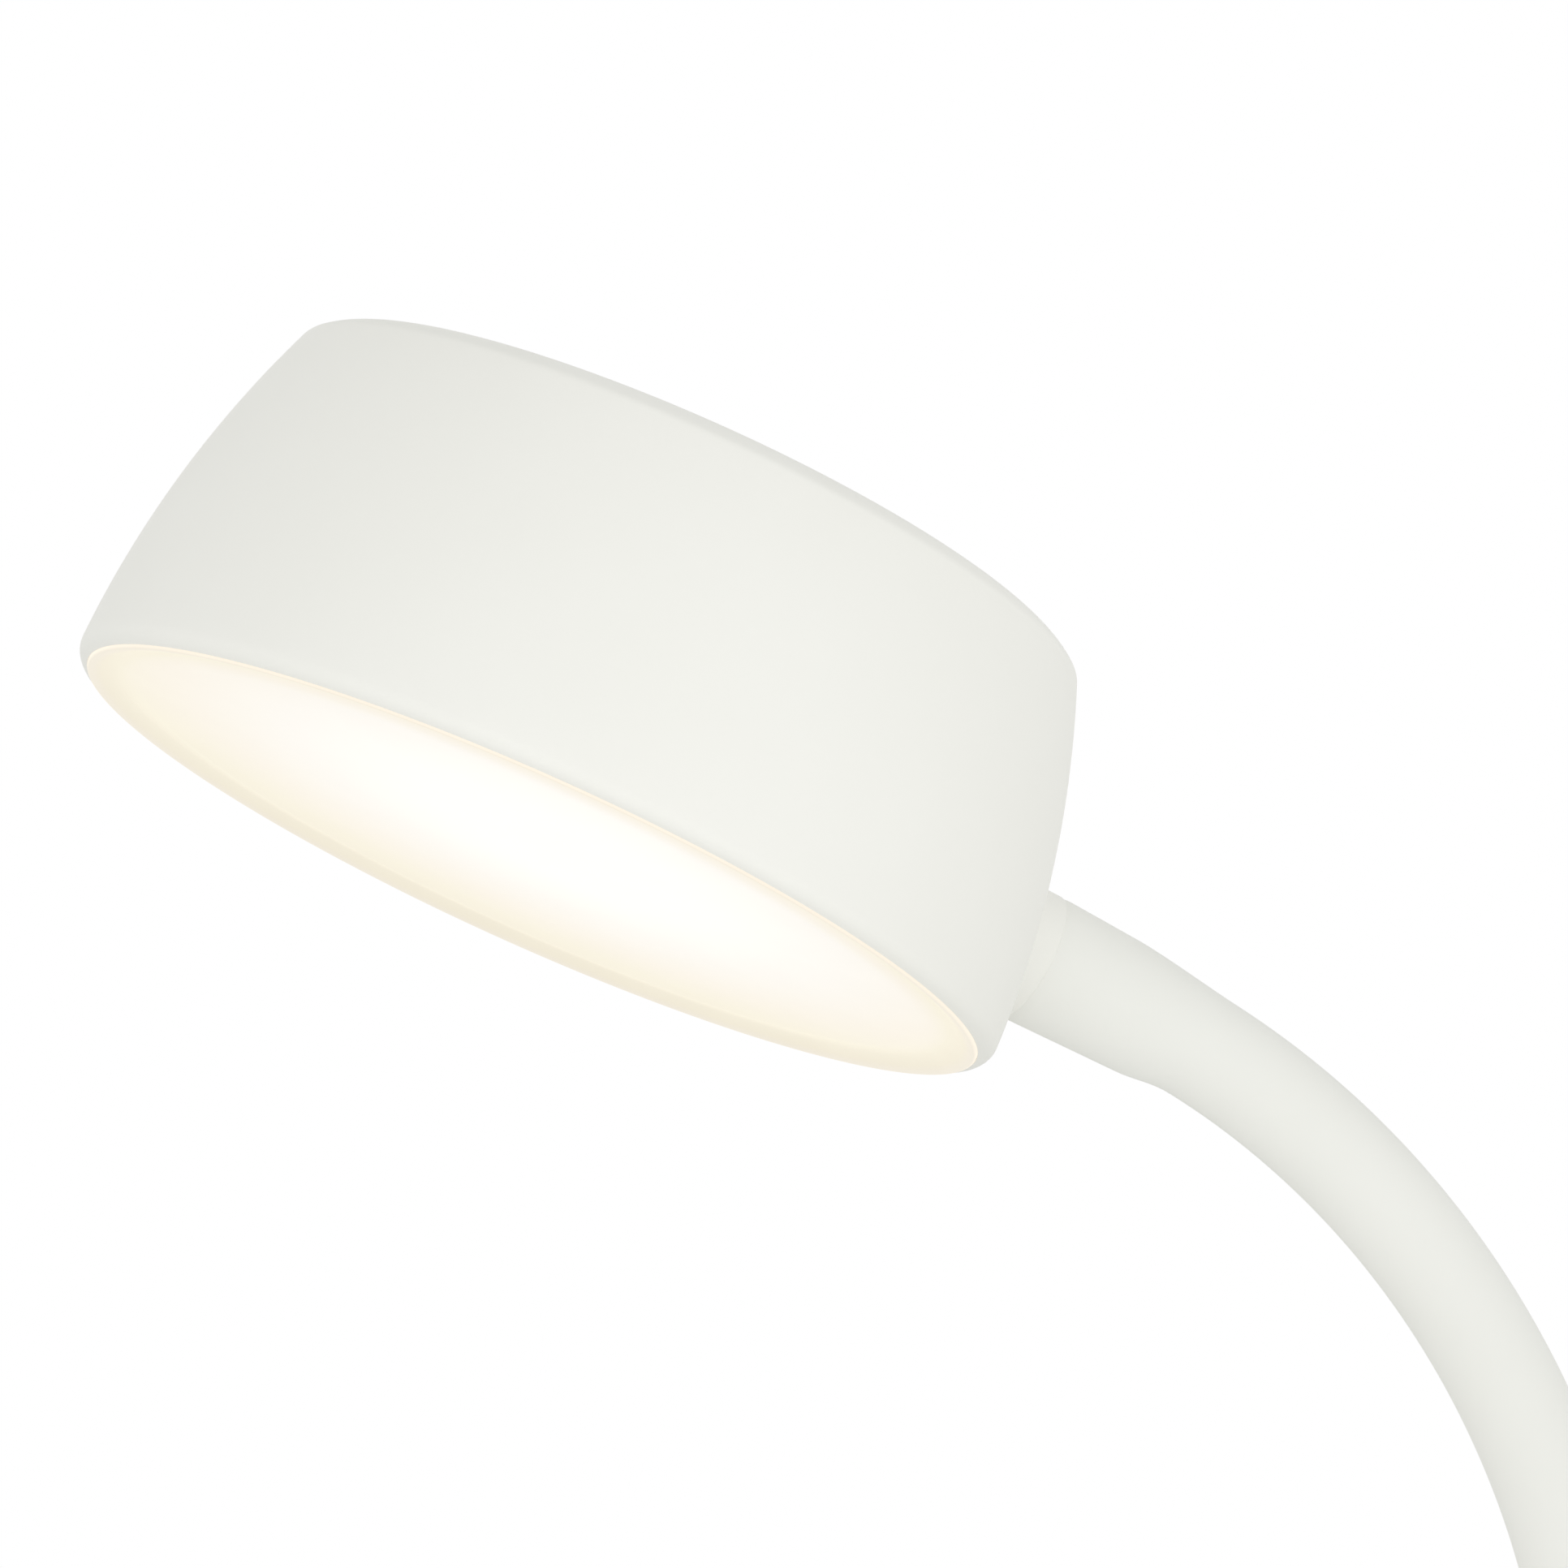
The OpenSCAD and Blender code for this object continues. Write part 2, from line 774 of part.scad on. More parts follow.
module lower_washer() {
    at_base_collar()
        seat_washer(collar_z - base_seat_z);
}

module lower_nut() {
    at_base_collar()
        seat_nut(collar_z - base_seat_z);
}

// Steel core of one neck length: a tube with a round knuckle at its far end, cupped at its near end
module neck_core(i) {
    first = i == 1;
    last = i == length_count;
    from = first ? collar_len : length_start(i) + station_gap / 2;
    to = length_end(i) - (last ? 0 : station_gap / 2);
    color(plated_steel)
        difference() {
            union() {
                neck_bar(from, to, core_r);
                if (first)
                    at_base_collar()
                        core_end(core_end_r);
                if (last)
                    at_head_collar()
                        core_end(core_end_r);
                else
                    intersection() {
                        hinge_axis(i)
                            translate([0, 0, -core_r])
                                cylinder(r = knuckle_r, h = 2 * core_r);
                        on_neck(station(i))
                            translate([0, 0, -knuckle_r])
                                cylinder(r = core_end_r, h = 2 * knuckle_r);
                    }
            }
            if (!first)
                hinge_axis(i - 1)
                    translate([0, 0, -neck_d])
                        cylinder(r = knuckle_r + knuckle_gap, h = 2 * neck_d);
            neck_bar(from - cut_over / 2, to, core_bore_r);
            if (first)
                at_base_collar()
                    core_end(core_end_bore_r, cut_over);
            if (last)
                at_head_collar()
                    core_end(core_end_bore_r, cut_over);
            else
                on_neck(station(i))
                    translate([0, 0, -station_gap / 2 - cut_over / 2])
                        cylinder(r = knuckle_bore_r, h = knuckle_r + neck_d);
        }
}

// Round end of a neck core inside its ferrule, lapped into the length that it belongs to
module core_end(r, over = 0) {
    bar_from(ferrule_floor - over, collar_len + end_lap - over, r);
}

// Profile of the sleeve's thick end, its step down to the neck in two arcs
module collar_profile() {
    big = collar_d / 2;
    small = collar_small_d / 2;
    thin = neck_d / 2 + step_lip;
    drop = small - thin;
    round_r = (step_len * step_len + drop * drop) / (4 * drop);
    polygon([[0, 0], [big, 0], [small, collar_len], [0, collar_len]]);
    intersection() {
        translate([small - round_r, collar_len])
            circle(r = round_r);
        translate([0, collar_len])
            square([small, step_len / 2]);
    }
    difference() {
        translate([0, collar_len + step_len / 2])
            square([small - drop / 2, step_len / 2]);
        translate([thin + round_r, collar_len + step_len])
            circle(r = round_r);
    }
}

// Silicone sleeve of one neck length
module neck_sleeve(i) {
    first = i == 1;
    last = i == length_count;
    bore_r = neck_d / 2 - sleeve_wall;
    cup_r = ferrule_r + slip_gap;
    from = length_start(i) + (first ? 0 : station_gap / 2);
    to = length_end(i) - (last ? 0 : station_gap / 2);
    color(sleeve_white)
        difference() {
            union() {
                neck_bar(from, to, neck_d / 2);
                if (first)
                    at_base_collar()
                        rotate_extrude()
                            collar_profile();
                if (last)
                    at_head_collar()
                        rotate_extrude()
                            collar_profile();
            }
            neck_bar(from - cut_over / 2, to + (last ? 0 : cut_over / 2), bore_r);
            if (first)
                at_base_collar()
                    bar_from(-cut_over, collar_len + slip_gap, cup_r);
            if (last)
                at_head_collar()
                    bar_from(-cut_over, collar_len + slip_gap, cup_r);
        }
}

// Two-core lead of one neck length, which at each end of the neck runs on to its plug
module neck_lead(i) {
    r = lead_d / 2;
    color(lead_grey)
        if (i == 1)
            swept_lead(base_lead_route(), r, [0, 1, 0]);
        else if (i == length_count)
            swept_lead(head_lead_route(), r, [0, 1, 0]);
        else
            neck_bar(length_start(i) + lead_end_gap, length_end(i) - lead_end_gap, r);
}

// Route from the plug under the control board, up through the lower ferrule to the first flex station
function base_lead_route() =
    let (turn = base_lead_turn_r, x = neck_x - turn, z = base_lead_z + turn)
    concat(
        [[plug_x, 0, base_lead_z]],
        quarter([x, 0, z], turn, [0, 0, -1], [1, 0, 0]),
        [[neck_x, 0, collar_z + station(1) - lead_end_gap]]
    );

// Route from the last flex station, through the upper ferrule and up to the plug on the light board
function head_lead_route() =
    let (start = station(length_count - 1) + lead_end_gap, turn = lead_turn_r,
         x = head_plug_x + turn, z = stem_up + turn, corner = head_point(x, z),
         down = head_point(x, z - 1) - corner, inward = head_point(x - 1, z) - corner)
    concat(
        [for (k = [0:turn_steps]) neck_point(start + (neck_len - start) * k / turn_steps)],
        quarter(corner, turn, down, inward),
        [head_point(head_plug_x, board_up - plug_h)]
    );

module base_cover() {
    color(shell_white)
        difference() {
            translate([0, 0, base_gap])
                union() {
                    rotate_extrude($fn = 200)
                        difference() {
                            union() {
                                base_profile();
                                lip_profile(base_rim_r, base_lip);
                            }
                            base_profile(base_wall, -cut_over);
                        }
                    // Posts, bosses and seats moulded inside the cover
                    intersection() {
                        rotate_extrude($fn = 200)
                            base_profile(seat_skin);
                        translate([0, 0, -base_gap])
                            cover_insides();
                    }
                    translate([neck_x, 0, base_seat_z - base_gap])
                        cylinder(d = collar_d, h = collar_z - base_seat_z);
                }
            translate([neck_x, 0, base_seat_z - cut_over])
                cylinder(r = stub_hole_r, h = collar_z - base_seat_z + 2 * cut_over);
            translate([-button_x, 0, guide_low - cut_over])
                cylinder(r = button_hole_r, h = button_top);
            around(base_post_count, base_post_pcd, base_post_turn)
                bar_from(base_plate_top - cut_over, base_plate_top + base_screw_bite + cut_over,
                         base_screw_r + screw_gap);
            for (at = control_screws)
                translate([at.x, at.y, control_low])
                    cylinder(r = control_screw_r + screw_gap, h = control_t + control_screw_bite);
            translate([jack_seat_x, 0, socket_z])
                rotate([0, 90, 0]) {
                    cylinder(r = jack_recess_r, h = base_d);
                    translate([0, 0, -jack_pad_t - cut_over])
                        cylinder(r = jack_hole_r, h = base_d);
                    // Room for the socket's nut
                    translate([0, 0, -jack_pad_t - jack_nut_room])
                        cylinder(r = jack_nut_w / 2 / cos(30) + run_gap, h = jack_nut_room);
                }
        }
}

module cover_insides() {
    top = base_gap + base_h + base_dome;
    around(base_post_count, base_post_pcd, base_post_turn)
        bar_from(base_plate_top, top, base_post_r);
    for (at = control_screws)
        translate([at.x, at.y, 0])
            bar_from(control_top, top, control_boss_r);
    translate([neck_x, 0, 0])
        bar_from(base_seat_z, top, seat_r);
    translate([-button_x, 0, 0])
        bar_from(guide_low, top, button_hole_r + button_guide_w);
    translate([jack_seat_x - jack_pad_t, 0, socket_z])
        rotate([0, 90, 0])
            cylinder(r = jack_pad_r, h = base_d);
}

module base_plate() {
    color(plated_steel)
        translate([0, 0, pad_t])
            difference() {
                cylinder(r = base_plate_r, h = base_plate_t, $fn = 128);
                around(base_post_count, base_post_pcd, base_post_turn)
                    sunk_hole(base_screw_r, base_plate_t + cut_over);
                around(screw_count, weight_screw_pcd, plate_screw_turn)
                    sunk_hole(weight_screw_r, base_plate_t + cut_over);
            }
}

module anti_slip_pad() {
    color(pad_grey)
        cylinder(d = pad_d, h = pad_t, $fn = 128);
}

module base_weight() {
    color(iron_grey)
        difference() {
            bar_from(base_plate_top, weight_top, weight_d / 2);
            translate([weight_notch_x, -weight_notch_w / 2, base_plate_top - cut_over])
                cube([weight_d, weight_notch_w, weight_t + 2 * cut_over]);
            around(screw_count, weight_screw_pcd, plate_screw_turn)
                bar_from(base_plate_top - cut_over, base_plate_top + weight_screw_bite,
                         weight_screw_r + screw_gap);
        }
}

module weight_screws() {
    color(plated_steel)
        translate([0, 0, pad_t])
            around(screw_count, weight_screw_pcd, plate_screw_turn)
                sunk_screw(weight_screw_r, base_plate_t + weight_screw_bite - cut_over);
}

module base_screws() {
    color(plated_steel)
        translate([0, 0, pad_t])
            around(base_post_count, base_post_pcd, base_post_turn)
                sunk_screw(base_screw_r, base_plate_t + base_screw_bite);
}

module control_board() {
    color(board_green)
        difference() {
            translate([control_x - control_l, -control_w / 2, control_low])
                cube([control_l, control_w, control_t]);
            for (at = control_screws)
                translate([at.x, at.y, control_low - cut_over])
                    cylinder(r = control_screw_r + screw_gap, h = control_t + 2 * cut_over);
        }
}

module control_screws_set() {
    color(plated_steel)
        for (at = control_screws)
            translate([at.x, at.y, control_low])
                pan_screw(control_screw_r, control_t + control_screw_bite - cut_over,
                          control_screw_head_r, control_screw_head_h);
}

// The two plugs under the control board, one for each lead
module control_plugs() {
    color(plug_cream)
        for (y = [0, inlet_y])
            translate([plug_x - plug_l, y - plug_w / 2, control_low - base_plug_h])
                cube([plug_l, plug_w, base_plug_h]);
}

module choke_coil() {
    color(coil_copper)
        translate([coil_at.x, coil_at.y, control_top]) {
            cylinder(r = coil_r, h = coil_flange_t);
            cylinder(r = coil_core_r, h = coil_h);
            translate([0, 0, coil_h - coil_flange_t])
                cylinder(r = coil_r, h = coil_flange_t);
        }
}

module capacitors() {
    color(part_black)
        for (at = can_at)
            translate([at.x, at.y, control_top])
                cylinder(r = can_r, h = can_h);
}

module driver_chip() {
    color(part_black)
        translate([driver_at.x - driver_size.x / 2, driver_at.y - driver_size.y / 2, control_top])
            cube(driver_size);
}

module switch_body() {
    color(part_black)
        translate([-button_x, 0, control_top])
            difference() {
                translate([-switch_w / 2, -switch_w / 2, 0])
                    cube([switch_w, switch_w, switch_h]);
                translate([0, 0, switch_floor])
                    cylinder(r = plunger_r + fit_gap, h = switch_h);
            }
}

module switch_plunger() {
    color(plug_cream)
        translate([-button_x, 0, 0])
            bar_from(switch_top - plunger_in, plunger_top, plunger_r);
}

// Round cap with a softened top edge, a flange that keeps it under the cover and a short stem
module button_cap() {
    color(shell_white)
        translate([-button_x, 0, 0]) {
            rotate_extrude($fn = 96) {
                translate([0, flange_top - button_flange_t])
                    square([button_r + button_flange_w, button_flange_t]);
                translate([0, flange_top - button_flange_t])
                    square([button_r, button_top - button_edge - flange_top + button_flange_t]);
                translate([0, button_top - button_edge])
                    square([button_r - button_edge, button_edge]);
                translate([button_r - button_edge, button_top - button_edge])
                    intersection() {
                        circle(r = button_edge);
                        square([button_edge, button_edge]);
                    }
            }
            bar_from(plunger_top, flange_top, button_stem_r);
        }
}

module power_socket() {
    color(part_black)
        translate([jack_seat_x, 0, socket_z])
            rotate([0, 90, 0])
                difference() {
                    union() {
                        cylinder(r = jack_flange_r, h = jack_flange_t);
                        bar_from(-jack_len, jack_flange_t, jack_barrel_r);
                    }
                    bar_from(jack_flange_t - socket_depth, jack_flange_t + cut_over, socket_d / 2);
                    bar_from(-jack_len - cut_over, 0, socket_pin_d / 2 + screw_gap);
                }
}

// Centre pin with its solder tail, and the flat tab of the outer contact
module socket_contacts() {
    color(brass_yellow)
        translate([jack_seat_x, 0, socket_z])
            rotate([0, 90, 0]) {
                bar_from(-jack_len - jack_tail, jack_flange_t - cut_over, socket_pin_d / 2);
                translate([socket_pin_d / 2 + jack_tab_gap, -jack_tab.y / 2, -jack_len - jack_tab.z])
                    cube(jack_tab);
            }
}

module socket_nut() {
    color(plated_steel)
        translate([jack_seat_x - jack_pad_t - jack_nut_t, 0, socket_z])
            rotate([0, 90, 0])
                difference() {
                    hex_bar(jack_nut_w, jack_nut_t);
                    translate([0, 0, -cut_over])
                        cylinder(r = jack_barrel_r + screw_gap, h = jack_nut_t + 2 * cut_over);
                }
}

// Lead from the power socket's tail, down onto the weight and along it to its plug
module inlet_lead() {
    start_x = jack_seat_x - jack_len - jack_tail;
    drop_x = start_x - inlet_start_l;
    z = inlet_lead_z;
    color(lead_grey)
        swept_lead([
            [start_x, 0, socket_z],
            [drop_x, 0, socket_z],
            [drop_x - inlet_drop_l / 2, inlet_drop_y / 2, (socket_z + z) / 2],
            [drop_x - inlet_drop_l, inlet_drop_y, z],
            [weight_notch_x, inlet_y - inlet_drop_y, z],
            [weight_notch_x - inlet_turn, inlet_y, z],
            [plug_x, inlet_y, z]
        ], inlet_lead_r, [0, 0, 1]);
}

head_shell();
diffuser();
reflector();
cooling_plate();
light_board();
light_chips();
light_plug();
plate_screws();
light_board_screws();
upper_ferrule();
upper_washer();
upper_nut();
for (i = [1:length_count])
    neck_core(i);
for (i = [1:length_count])
    neck_sleeve(i);
for (i = [1:length_count])
    neck_lead(i);
lower_ferrule();
lower_washer();
lower_nut();
base_cover();
base_plate();
anti_slip_pad();
base_weight();
weight_screws();
base_screws();
control_board();
control_screws_set();
control_plugs();
choke_coil();
capacitors();
driver_chip();
switch_body();
switch_plunger();
button_cap();
power_socket();
socket_contacts();
socket_nut();
inlet_lead();
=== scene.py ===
import json
import math

import bmesh
import bpy
from mathutils import Matrix, Vector

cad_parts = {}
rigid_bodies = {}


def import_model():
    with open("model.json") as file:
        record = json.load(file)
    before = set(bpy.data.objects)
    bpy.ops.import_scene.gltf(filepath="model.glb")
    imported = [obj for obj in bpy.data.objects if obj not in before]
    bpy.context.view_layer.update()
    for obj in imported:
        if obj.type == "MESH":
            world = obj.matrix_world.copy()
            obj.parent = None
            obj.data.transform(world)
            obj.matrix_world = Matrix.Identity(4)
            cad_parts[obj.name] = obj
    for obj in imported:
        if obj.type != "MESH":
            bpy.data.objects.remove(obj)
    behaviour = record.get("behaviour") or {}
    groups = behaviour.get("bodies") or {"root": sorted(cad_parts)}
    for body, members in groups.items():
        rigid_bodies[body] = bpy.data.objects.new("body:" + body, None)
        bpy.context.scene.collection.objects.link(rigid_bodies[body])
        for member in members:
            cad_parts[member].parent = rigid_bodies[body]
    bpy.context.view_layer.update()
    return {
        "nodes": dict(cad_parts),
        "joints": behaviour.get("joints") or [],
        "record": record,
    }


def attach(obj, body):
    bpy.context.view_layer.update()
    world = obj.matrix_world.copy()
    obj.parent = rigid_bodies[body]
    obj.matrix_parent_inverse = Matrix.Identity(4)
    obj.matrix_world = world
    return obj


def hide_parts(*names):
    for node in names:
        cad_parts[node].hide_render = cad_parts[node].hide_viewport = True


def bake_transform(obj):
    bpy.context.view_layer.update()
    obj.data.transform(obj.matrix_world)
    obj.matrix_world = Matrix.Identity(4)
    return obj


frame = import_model()
scene = bpy.context.scene
scene.view_settings.view_transform = "Standard"
mm = 0.001  # sizes below are in millimetres, meshes are in metres

# the lamp's main lines, the same as the solids have
lampPlan = {
    "neckX": 38.0,          # neck's distance from the middle of the base
    "collarZ": 29.0,        # top of the boss on the base
    "straightLen": 121.0,   # straight neck above it
    "bendRadius": 106.0,
    "headTilt": 25.5,       # degrees from level
    "collarLen": 16.2,      # thick end of the sleeve
    "stemReach": 62.5,      # head's axis to the end of its boss
    "stemUp": 17.7,         # stem's axis above the head's rim
    "stemRadius": 8.1,      # both bosses and the sleeve's thick ends
    "stemBore": 5.15,
    "neckHole": 6.5,        # cut in both shells under the bosses
}
bendAngle = math.radians(90 - lampPlan["headTilt"])
neckLen = lampPlan["straightLen"] + lampPlan["bendRadius"] * bendAngle


# point on the neck's middle line, the way along it and the side away from the bend's centre
def neckSpot(along):
    turned = min(max(along - lampPlan["straightLen"], 0), bendAngle * lampPlan["bendRadius"])
    angle = turned / lampPlan["bendRadius"]
    out = Vector((math.cos(angle), 0, math.sin(angle)))
    way = Vector((-math.sin(angle), 0, math.cos(angle)))
    bendStart = lampPlan["collarZ"] + lampPlan["straightLen"]
    spot = Vector((lampPlan["neckX"] - lampPlan["bendRadius"], 0, bendStart)) + out * lampPlan["bendRadius"]
    spot += way * (along - lampPlan["straightLen"] - turned)
    return spot, way, out


# the head's own axes: X towards the neck, Z up through its top, origin in the middle of the rim
def headAxes():
    stemEnd, way, out = neckSpot(neckLen + lampPlan["collarLen"])
    origin = stemEnd + way * lampPlan["stemReach"] - out * lampPlan["stemUp"]
    turn = Matrix((-way, (0, 1, 0), out)).transposed().to_4x4()
    return Matrix.Translation(origin * mm) @ turn


headPlace = headAxes()
basePlace = Matrix.Identity(4)

cameraPlan = {
    "turn": 20.306,       # degrees round the lamp
    "lift": -1.877,       # degrees above level
    "distance": 2500.0,
    "widthSeen": 187.66,  # width of the picture at the lamp
    "right": 30.23,       # aim, from the middle of the rim
    "up": 9.205,
    "sensor": 36.0,
}


def addCamera(plan):
    turn = math.radians(plan["turn"])
    lift = math.radians(plan["lift"])
    right = Vector((math.cos(turn), -math.sin(turn), 0))
    back = Vector((-math.sin(turn) * math.cos(lift), -math.cos(turn) * math.cos(lift), math.sin(lift)))
    up = back.cross(right)
    aim = headPlace.translation + (right * plan["right"] + up * plan["up"]) * mm
    camera = bpy.data.objects.new("camera", bpy.data.cameras.new("camera"))
    camera.data.sensor_width = plan["sensor"]
    camera.data.lens = plan["sensor"] * plan["distance"] / plan["widthSeen"]
    turnAxes = Matrix((right, up, back)).transposed().to_4x4()
    camera.matrix_world = Matrix.Translation(aim + back * plan["distance"] * mm) @ turnAxes
    scene.collection.objects.link(camera)
    scene.camera = camera
    return aim, back


aim, towardsCamera = addCamera(cameraPlan)
print("camera set, lens", round(scene.camera.data.lens, 1))

meshPlan = {
    "sharpAngle": 32,  # degrees between two faces from which their edge is sharp
    "weld": 0.001,     # points closer than this become one after a cut
}


# mesh helpers: rings of points joined by bands of faces
def bandFaces(low, lowCount, high, highCount):
    count = max(lowCount, highCount)
    faces = []
    for k in range(count):
        n = (k + 1) % count
        if lowCount == 1:
            faces.append((low, high + n, high + k))
        elif highCount == 1:
            faces.append((low + k, low + n, high))
        else:
            faces.append((low + k, low + n, high + n, high + k))
    return faces


def loft(name, rings, place=None, closed=False, sharpAngle=meshPlan["sharpAngle"], ownAxes=False):
    spots = []
    starts = []
    for ring in rings:
        starts.append(len(spots))
        spots.extend(Vector(spot) * mm for spot in ring)
    pairs = [(i, i + 1) for i in range(len(rings) - 1)]
    if closed:
        pairs.append((len(rings) - 1, 0))
    faces = []
    for low, high in pairs:
        faces.extend(bandFaces(starts[low], len(rings[low]), starts[high], len(rings[high])))
    mesh = bpy.data.meshes.new(name)
    mesh.from_pydata(spots, [], faces)
    shell = bmesh.new()
    shell.from_mesh(mesh)
    bmesh.ops.recalc_face_normals(shell, faces=shell.faces)
    shell.to_mesh(mesh)
    shell.free()
    mesh.shade_smooth()
    mesh.set_sharp_from_angle(angle=math.radians(sharpAngle))
    piece = bpy.data.objects.new(name, mesh)
    if ownAxes:
        piece.matrix_world = place
    elif place:
        mesh.transform(place)
    scene.collection.objects.link(piece)
    return piece


def ringAt(radius, z, count, x=0.0, y=0.0):
    if radius < 1e-6:
        return [(x, y, z)]
    steps = [2 * math.pi * k / count for k in range(count)]
    return [(x + radius * math.cos(a), y + radius * math.sin(a), z) for a in steps]


def lathe(name, profile, count, place=None, **options):
    return loft(name, [ringAt(r, z, count) for r, z in profile], place, **options)


# round bar from one end to the other, to cut with or to join on
def plug(name, radius, ends, place, count=48):
    low, high = ends
    return lathe(name, [(0, low), (radius, low), (radius, high), (0, high)], count, place)


# circle round the neck's middle line; its radius is a number or follows the angle from the outer side
def neckRing(along, radius, count):
    spot, way, out = neckSpot(along)
    across = way.cross(out)
    ring = []
    for k in range(count):
        a = 2 * math.pi * k / count
        reach = radius(a) if callable(radius) else radius
        ring.append(spot + (out * math.cos(a) + across * math.sin(a)) * reach)
    return ring


def arcSpots(centre, radius, start, end, count):
    steps = [math.radians(start + (end - start) * k / (count - 1)) for k in range(count)]
    return [(centre[0] + radius * math.cos(a), centre[1] + radius * math.sin(a)) for a in steps]


# soft corner between two points of a profile
def softCorner(start, corner, end, count=6):
    spots = []
    for k in range(count + 1):
        t = k / count
        parts = [(1 - t) ** 2, 2 * t * (1 - t), t * t]
        spots.append(tuple(sum(w * p[i] for w, p in zip(parts, (start, corner, end))) for i in (0, 1)))
    return spots


def evenly(start, end, count):
    return [start + (end - start) * k / (count - 1) for k in range(count)]


def ease(share):
    share = min(max(share, 0), 1)
    return share * share * (3 - 2 * share)


# cuts another piece out of a piece, or joins it on, and keeps the result as the mesh
def carve(piece, other, how="DIFFERENCE"):
    change = piece.modifiers.new("change", "BOOLEAN")
    change.operation = how
    change.solver = "EXACT"
    change.object = other
    seen = piece.evaluated_get(bpy.context.evaluated_depsgraph_get())
    mesh = bpy.data.meshes.new_from_object(seen)
    piece.modifiers.clear()
    piece.data = mesh
    shell = bmesh.new()
    shell.from_mesh(mesh)
    bmesh.ops.remove_doubles(shell, verts=shell.verts, dist=meshPlan["weld"] * mm)
    shell.to_mesh(mesh)
    shell.free()
    mesh.set_sharp_from_angle(angle=math.radians(meshPlan["sharpAngle"]))
    bpy.data.objects.remove(other)


noiseSpan = (0.3, 0.7)  # where most of a noise's values lie


# materials: colour patches, fine relief and uneven gloss from noise in the piece's own space
def newFinish(name):
    material = bpy.data.materials.new(name)
    material.use_nodes = True
    tree = material.node_tree
    return material, tree, tree.nodes["Principled BSDF"]


def noiseAt(tree, size, stretch=(1, 1, 1), detail=3.0):
    place = tree.nodes.new("ShaderNodeTexCoord")
    scale = tree.nodes.new("ShaderNodeMapping")
    scale.inputs["Scale"].default_value = [s / (size * mm) for s in stretch]
    tree.links.new(place.outputs["Object"], scale.inputs["Vector"])
    noise = tree.nodes.new("ShaderNodeTexNoise")
    noise.inputs["Scale"].default_value = 1.0
    noise.inputs["Detail"].default_value = detail
    tree.links.new(scale.outputs["Vector"], noise.inputs["Vector"])
    return noise.outputs["Fac"]


def mixColours(tree, factor, first, second):
    mix = tree.nodes.new("ShaderNodeMix")
    mix.data_type = "RGBA"
    tree.links.new(factor, mix.inputs[0])
    for socket, colour in ((mix.inputs[6], first), (mix.inputs[7], second)):
        if isinstance(colour, bpy.types.NodeSocket):
            tree.links.new(colour, socket)
        else:
            socket.default_value = (*colour, 1)
    return mix.outputs[2]


def spread(tree, value, fromLow, fromHigh, low, high):
    stretch = tree.nodes.new("ShaderNodeMapRange")
    stretch.inputs["From Min"].default_value = fromLow
    stretch.inputs["From Max"].default_value = fromHigh
    stretch.inputs["To Min"].default_value = low
    stretch.inputs["To Max"].default_value = high
    tree.links.new(value, stretch.inputs["Value"])
    return stretch.outputs["Result"]


def relief(tree, shader, height, depth):
    bump = tree.nodes.new("ShaderNodeBump")
    bump.inputs["Distance"].default_value = depth * mm
    tree.links.new(height, bump.inputs["Height"])
    tree.links.new(bump.outputs["Normal"], shader.inputs["Normal"])


def grainedFinish(name, look):
    material, tree, shader = newFinish(name)
    shader.inputs["Metallic"].default_value = look.get("metal", 0.0)
    shader.inputs["Specular IOR Level"].default_value = look.get("specular", 0.4)
    stretch = look.get("stretch", (1, 1, 1))
    patches = spread(tree, noiseAt(tree, look["patchSize"], stretch), *noiseSpan, 0, 1)
    tree.links.new(mixColours(tree, patches, look["colour"], look["patch"]), shader.inputs["Base Color"])
    uneven = noiseAt(tree, look["patchSize"] / 3, stretch)
    tree.links.new(spread(tree, uneven, *noiseSpan, *look["rough"]), shader.inputs["Roughness"])
    relief(tree, shader, noiseAt(tree, look["grainSize"], stretch, 2.0), look["grainDepth"])
    return material


stagePlan = {
    "floorRadius": 16.0,                # metres, as all lengths here
    "floorZ": -0.0002,                  # just under the rubber pad
    "floorColour": (0.95, 0.95, 0.945, 1),
    "floorRough": 0.9,
    "floorSpecular": 0.1,
    "level": (1.0, 1.0, 0.995),         # light of the white room, from the side
    "overhead": (0.66, 0.665, 0.65),    # and from above
    "heights": (0.1, 0.9),              # between them, as the height of a way of unit length
    "panel": {"power": 5.0, "size": (5.0, 0.9), "front": 2.6, "side": 0.5, "z": 0.5},
    "card": {"power": 9.0, "size": (3.0, 1.6), "front": 1.4, "side": -0.6, "z": 0.015},
}


def addLight(name, plan):
    light = bpy.data.objects.new(name, bpy.data.lights.new(name, "AREA"))
    light.data.energy = plan["power"]
    light.data.shape = "RECTANGLE"
    light.data.size, light.data.size_y = plan["size"]
    side = Vector((-towardsCamera.y, towardsCamera.x, 0))
    light.location = aim + towardsCamera * plan["front"] + side * plan["side"]
    light.location.z = plan["z"]
    light.rotation_mode = "QUATERNION"
    light.visible_camera = False
    scene.collection.objects.link(light)
    return light


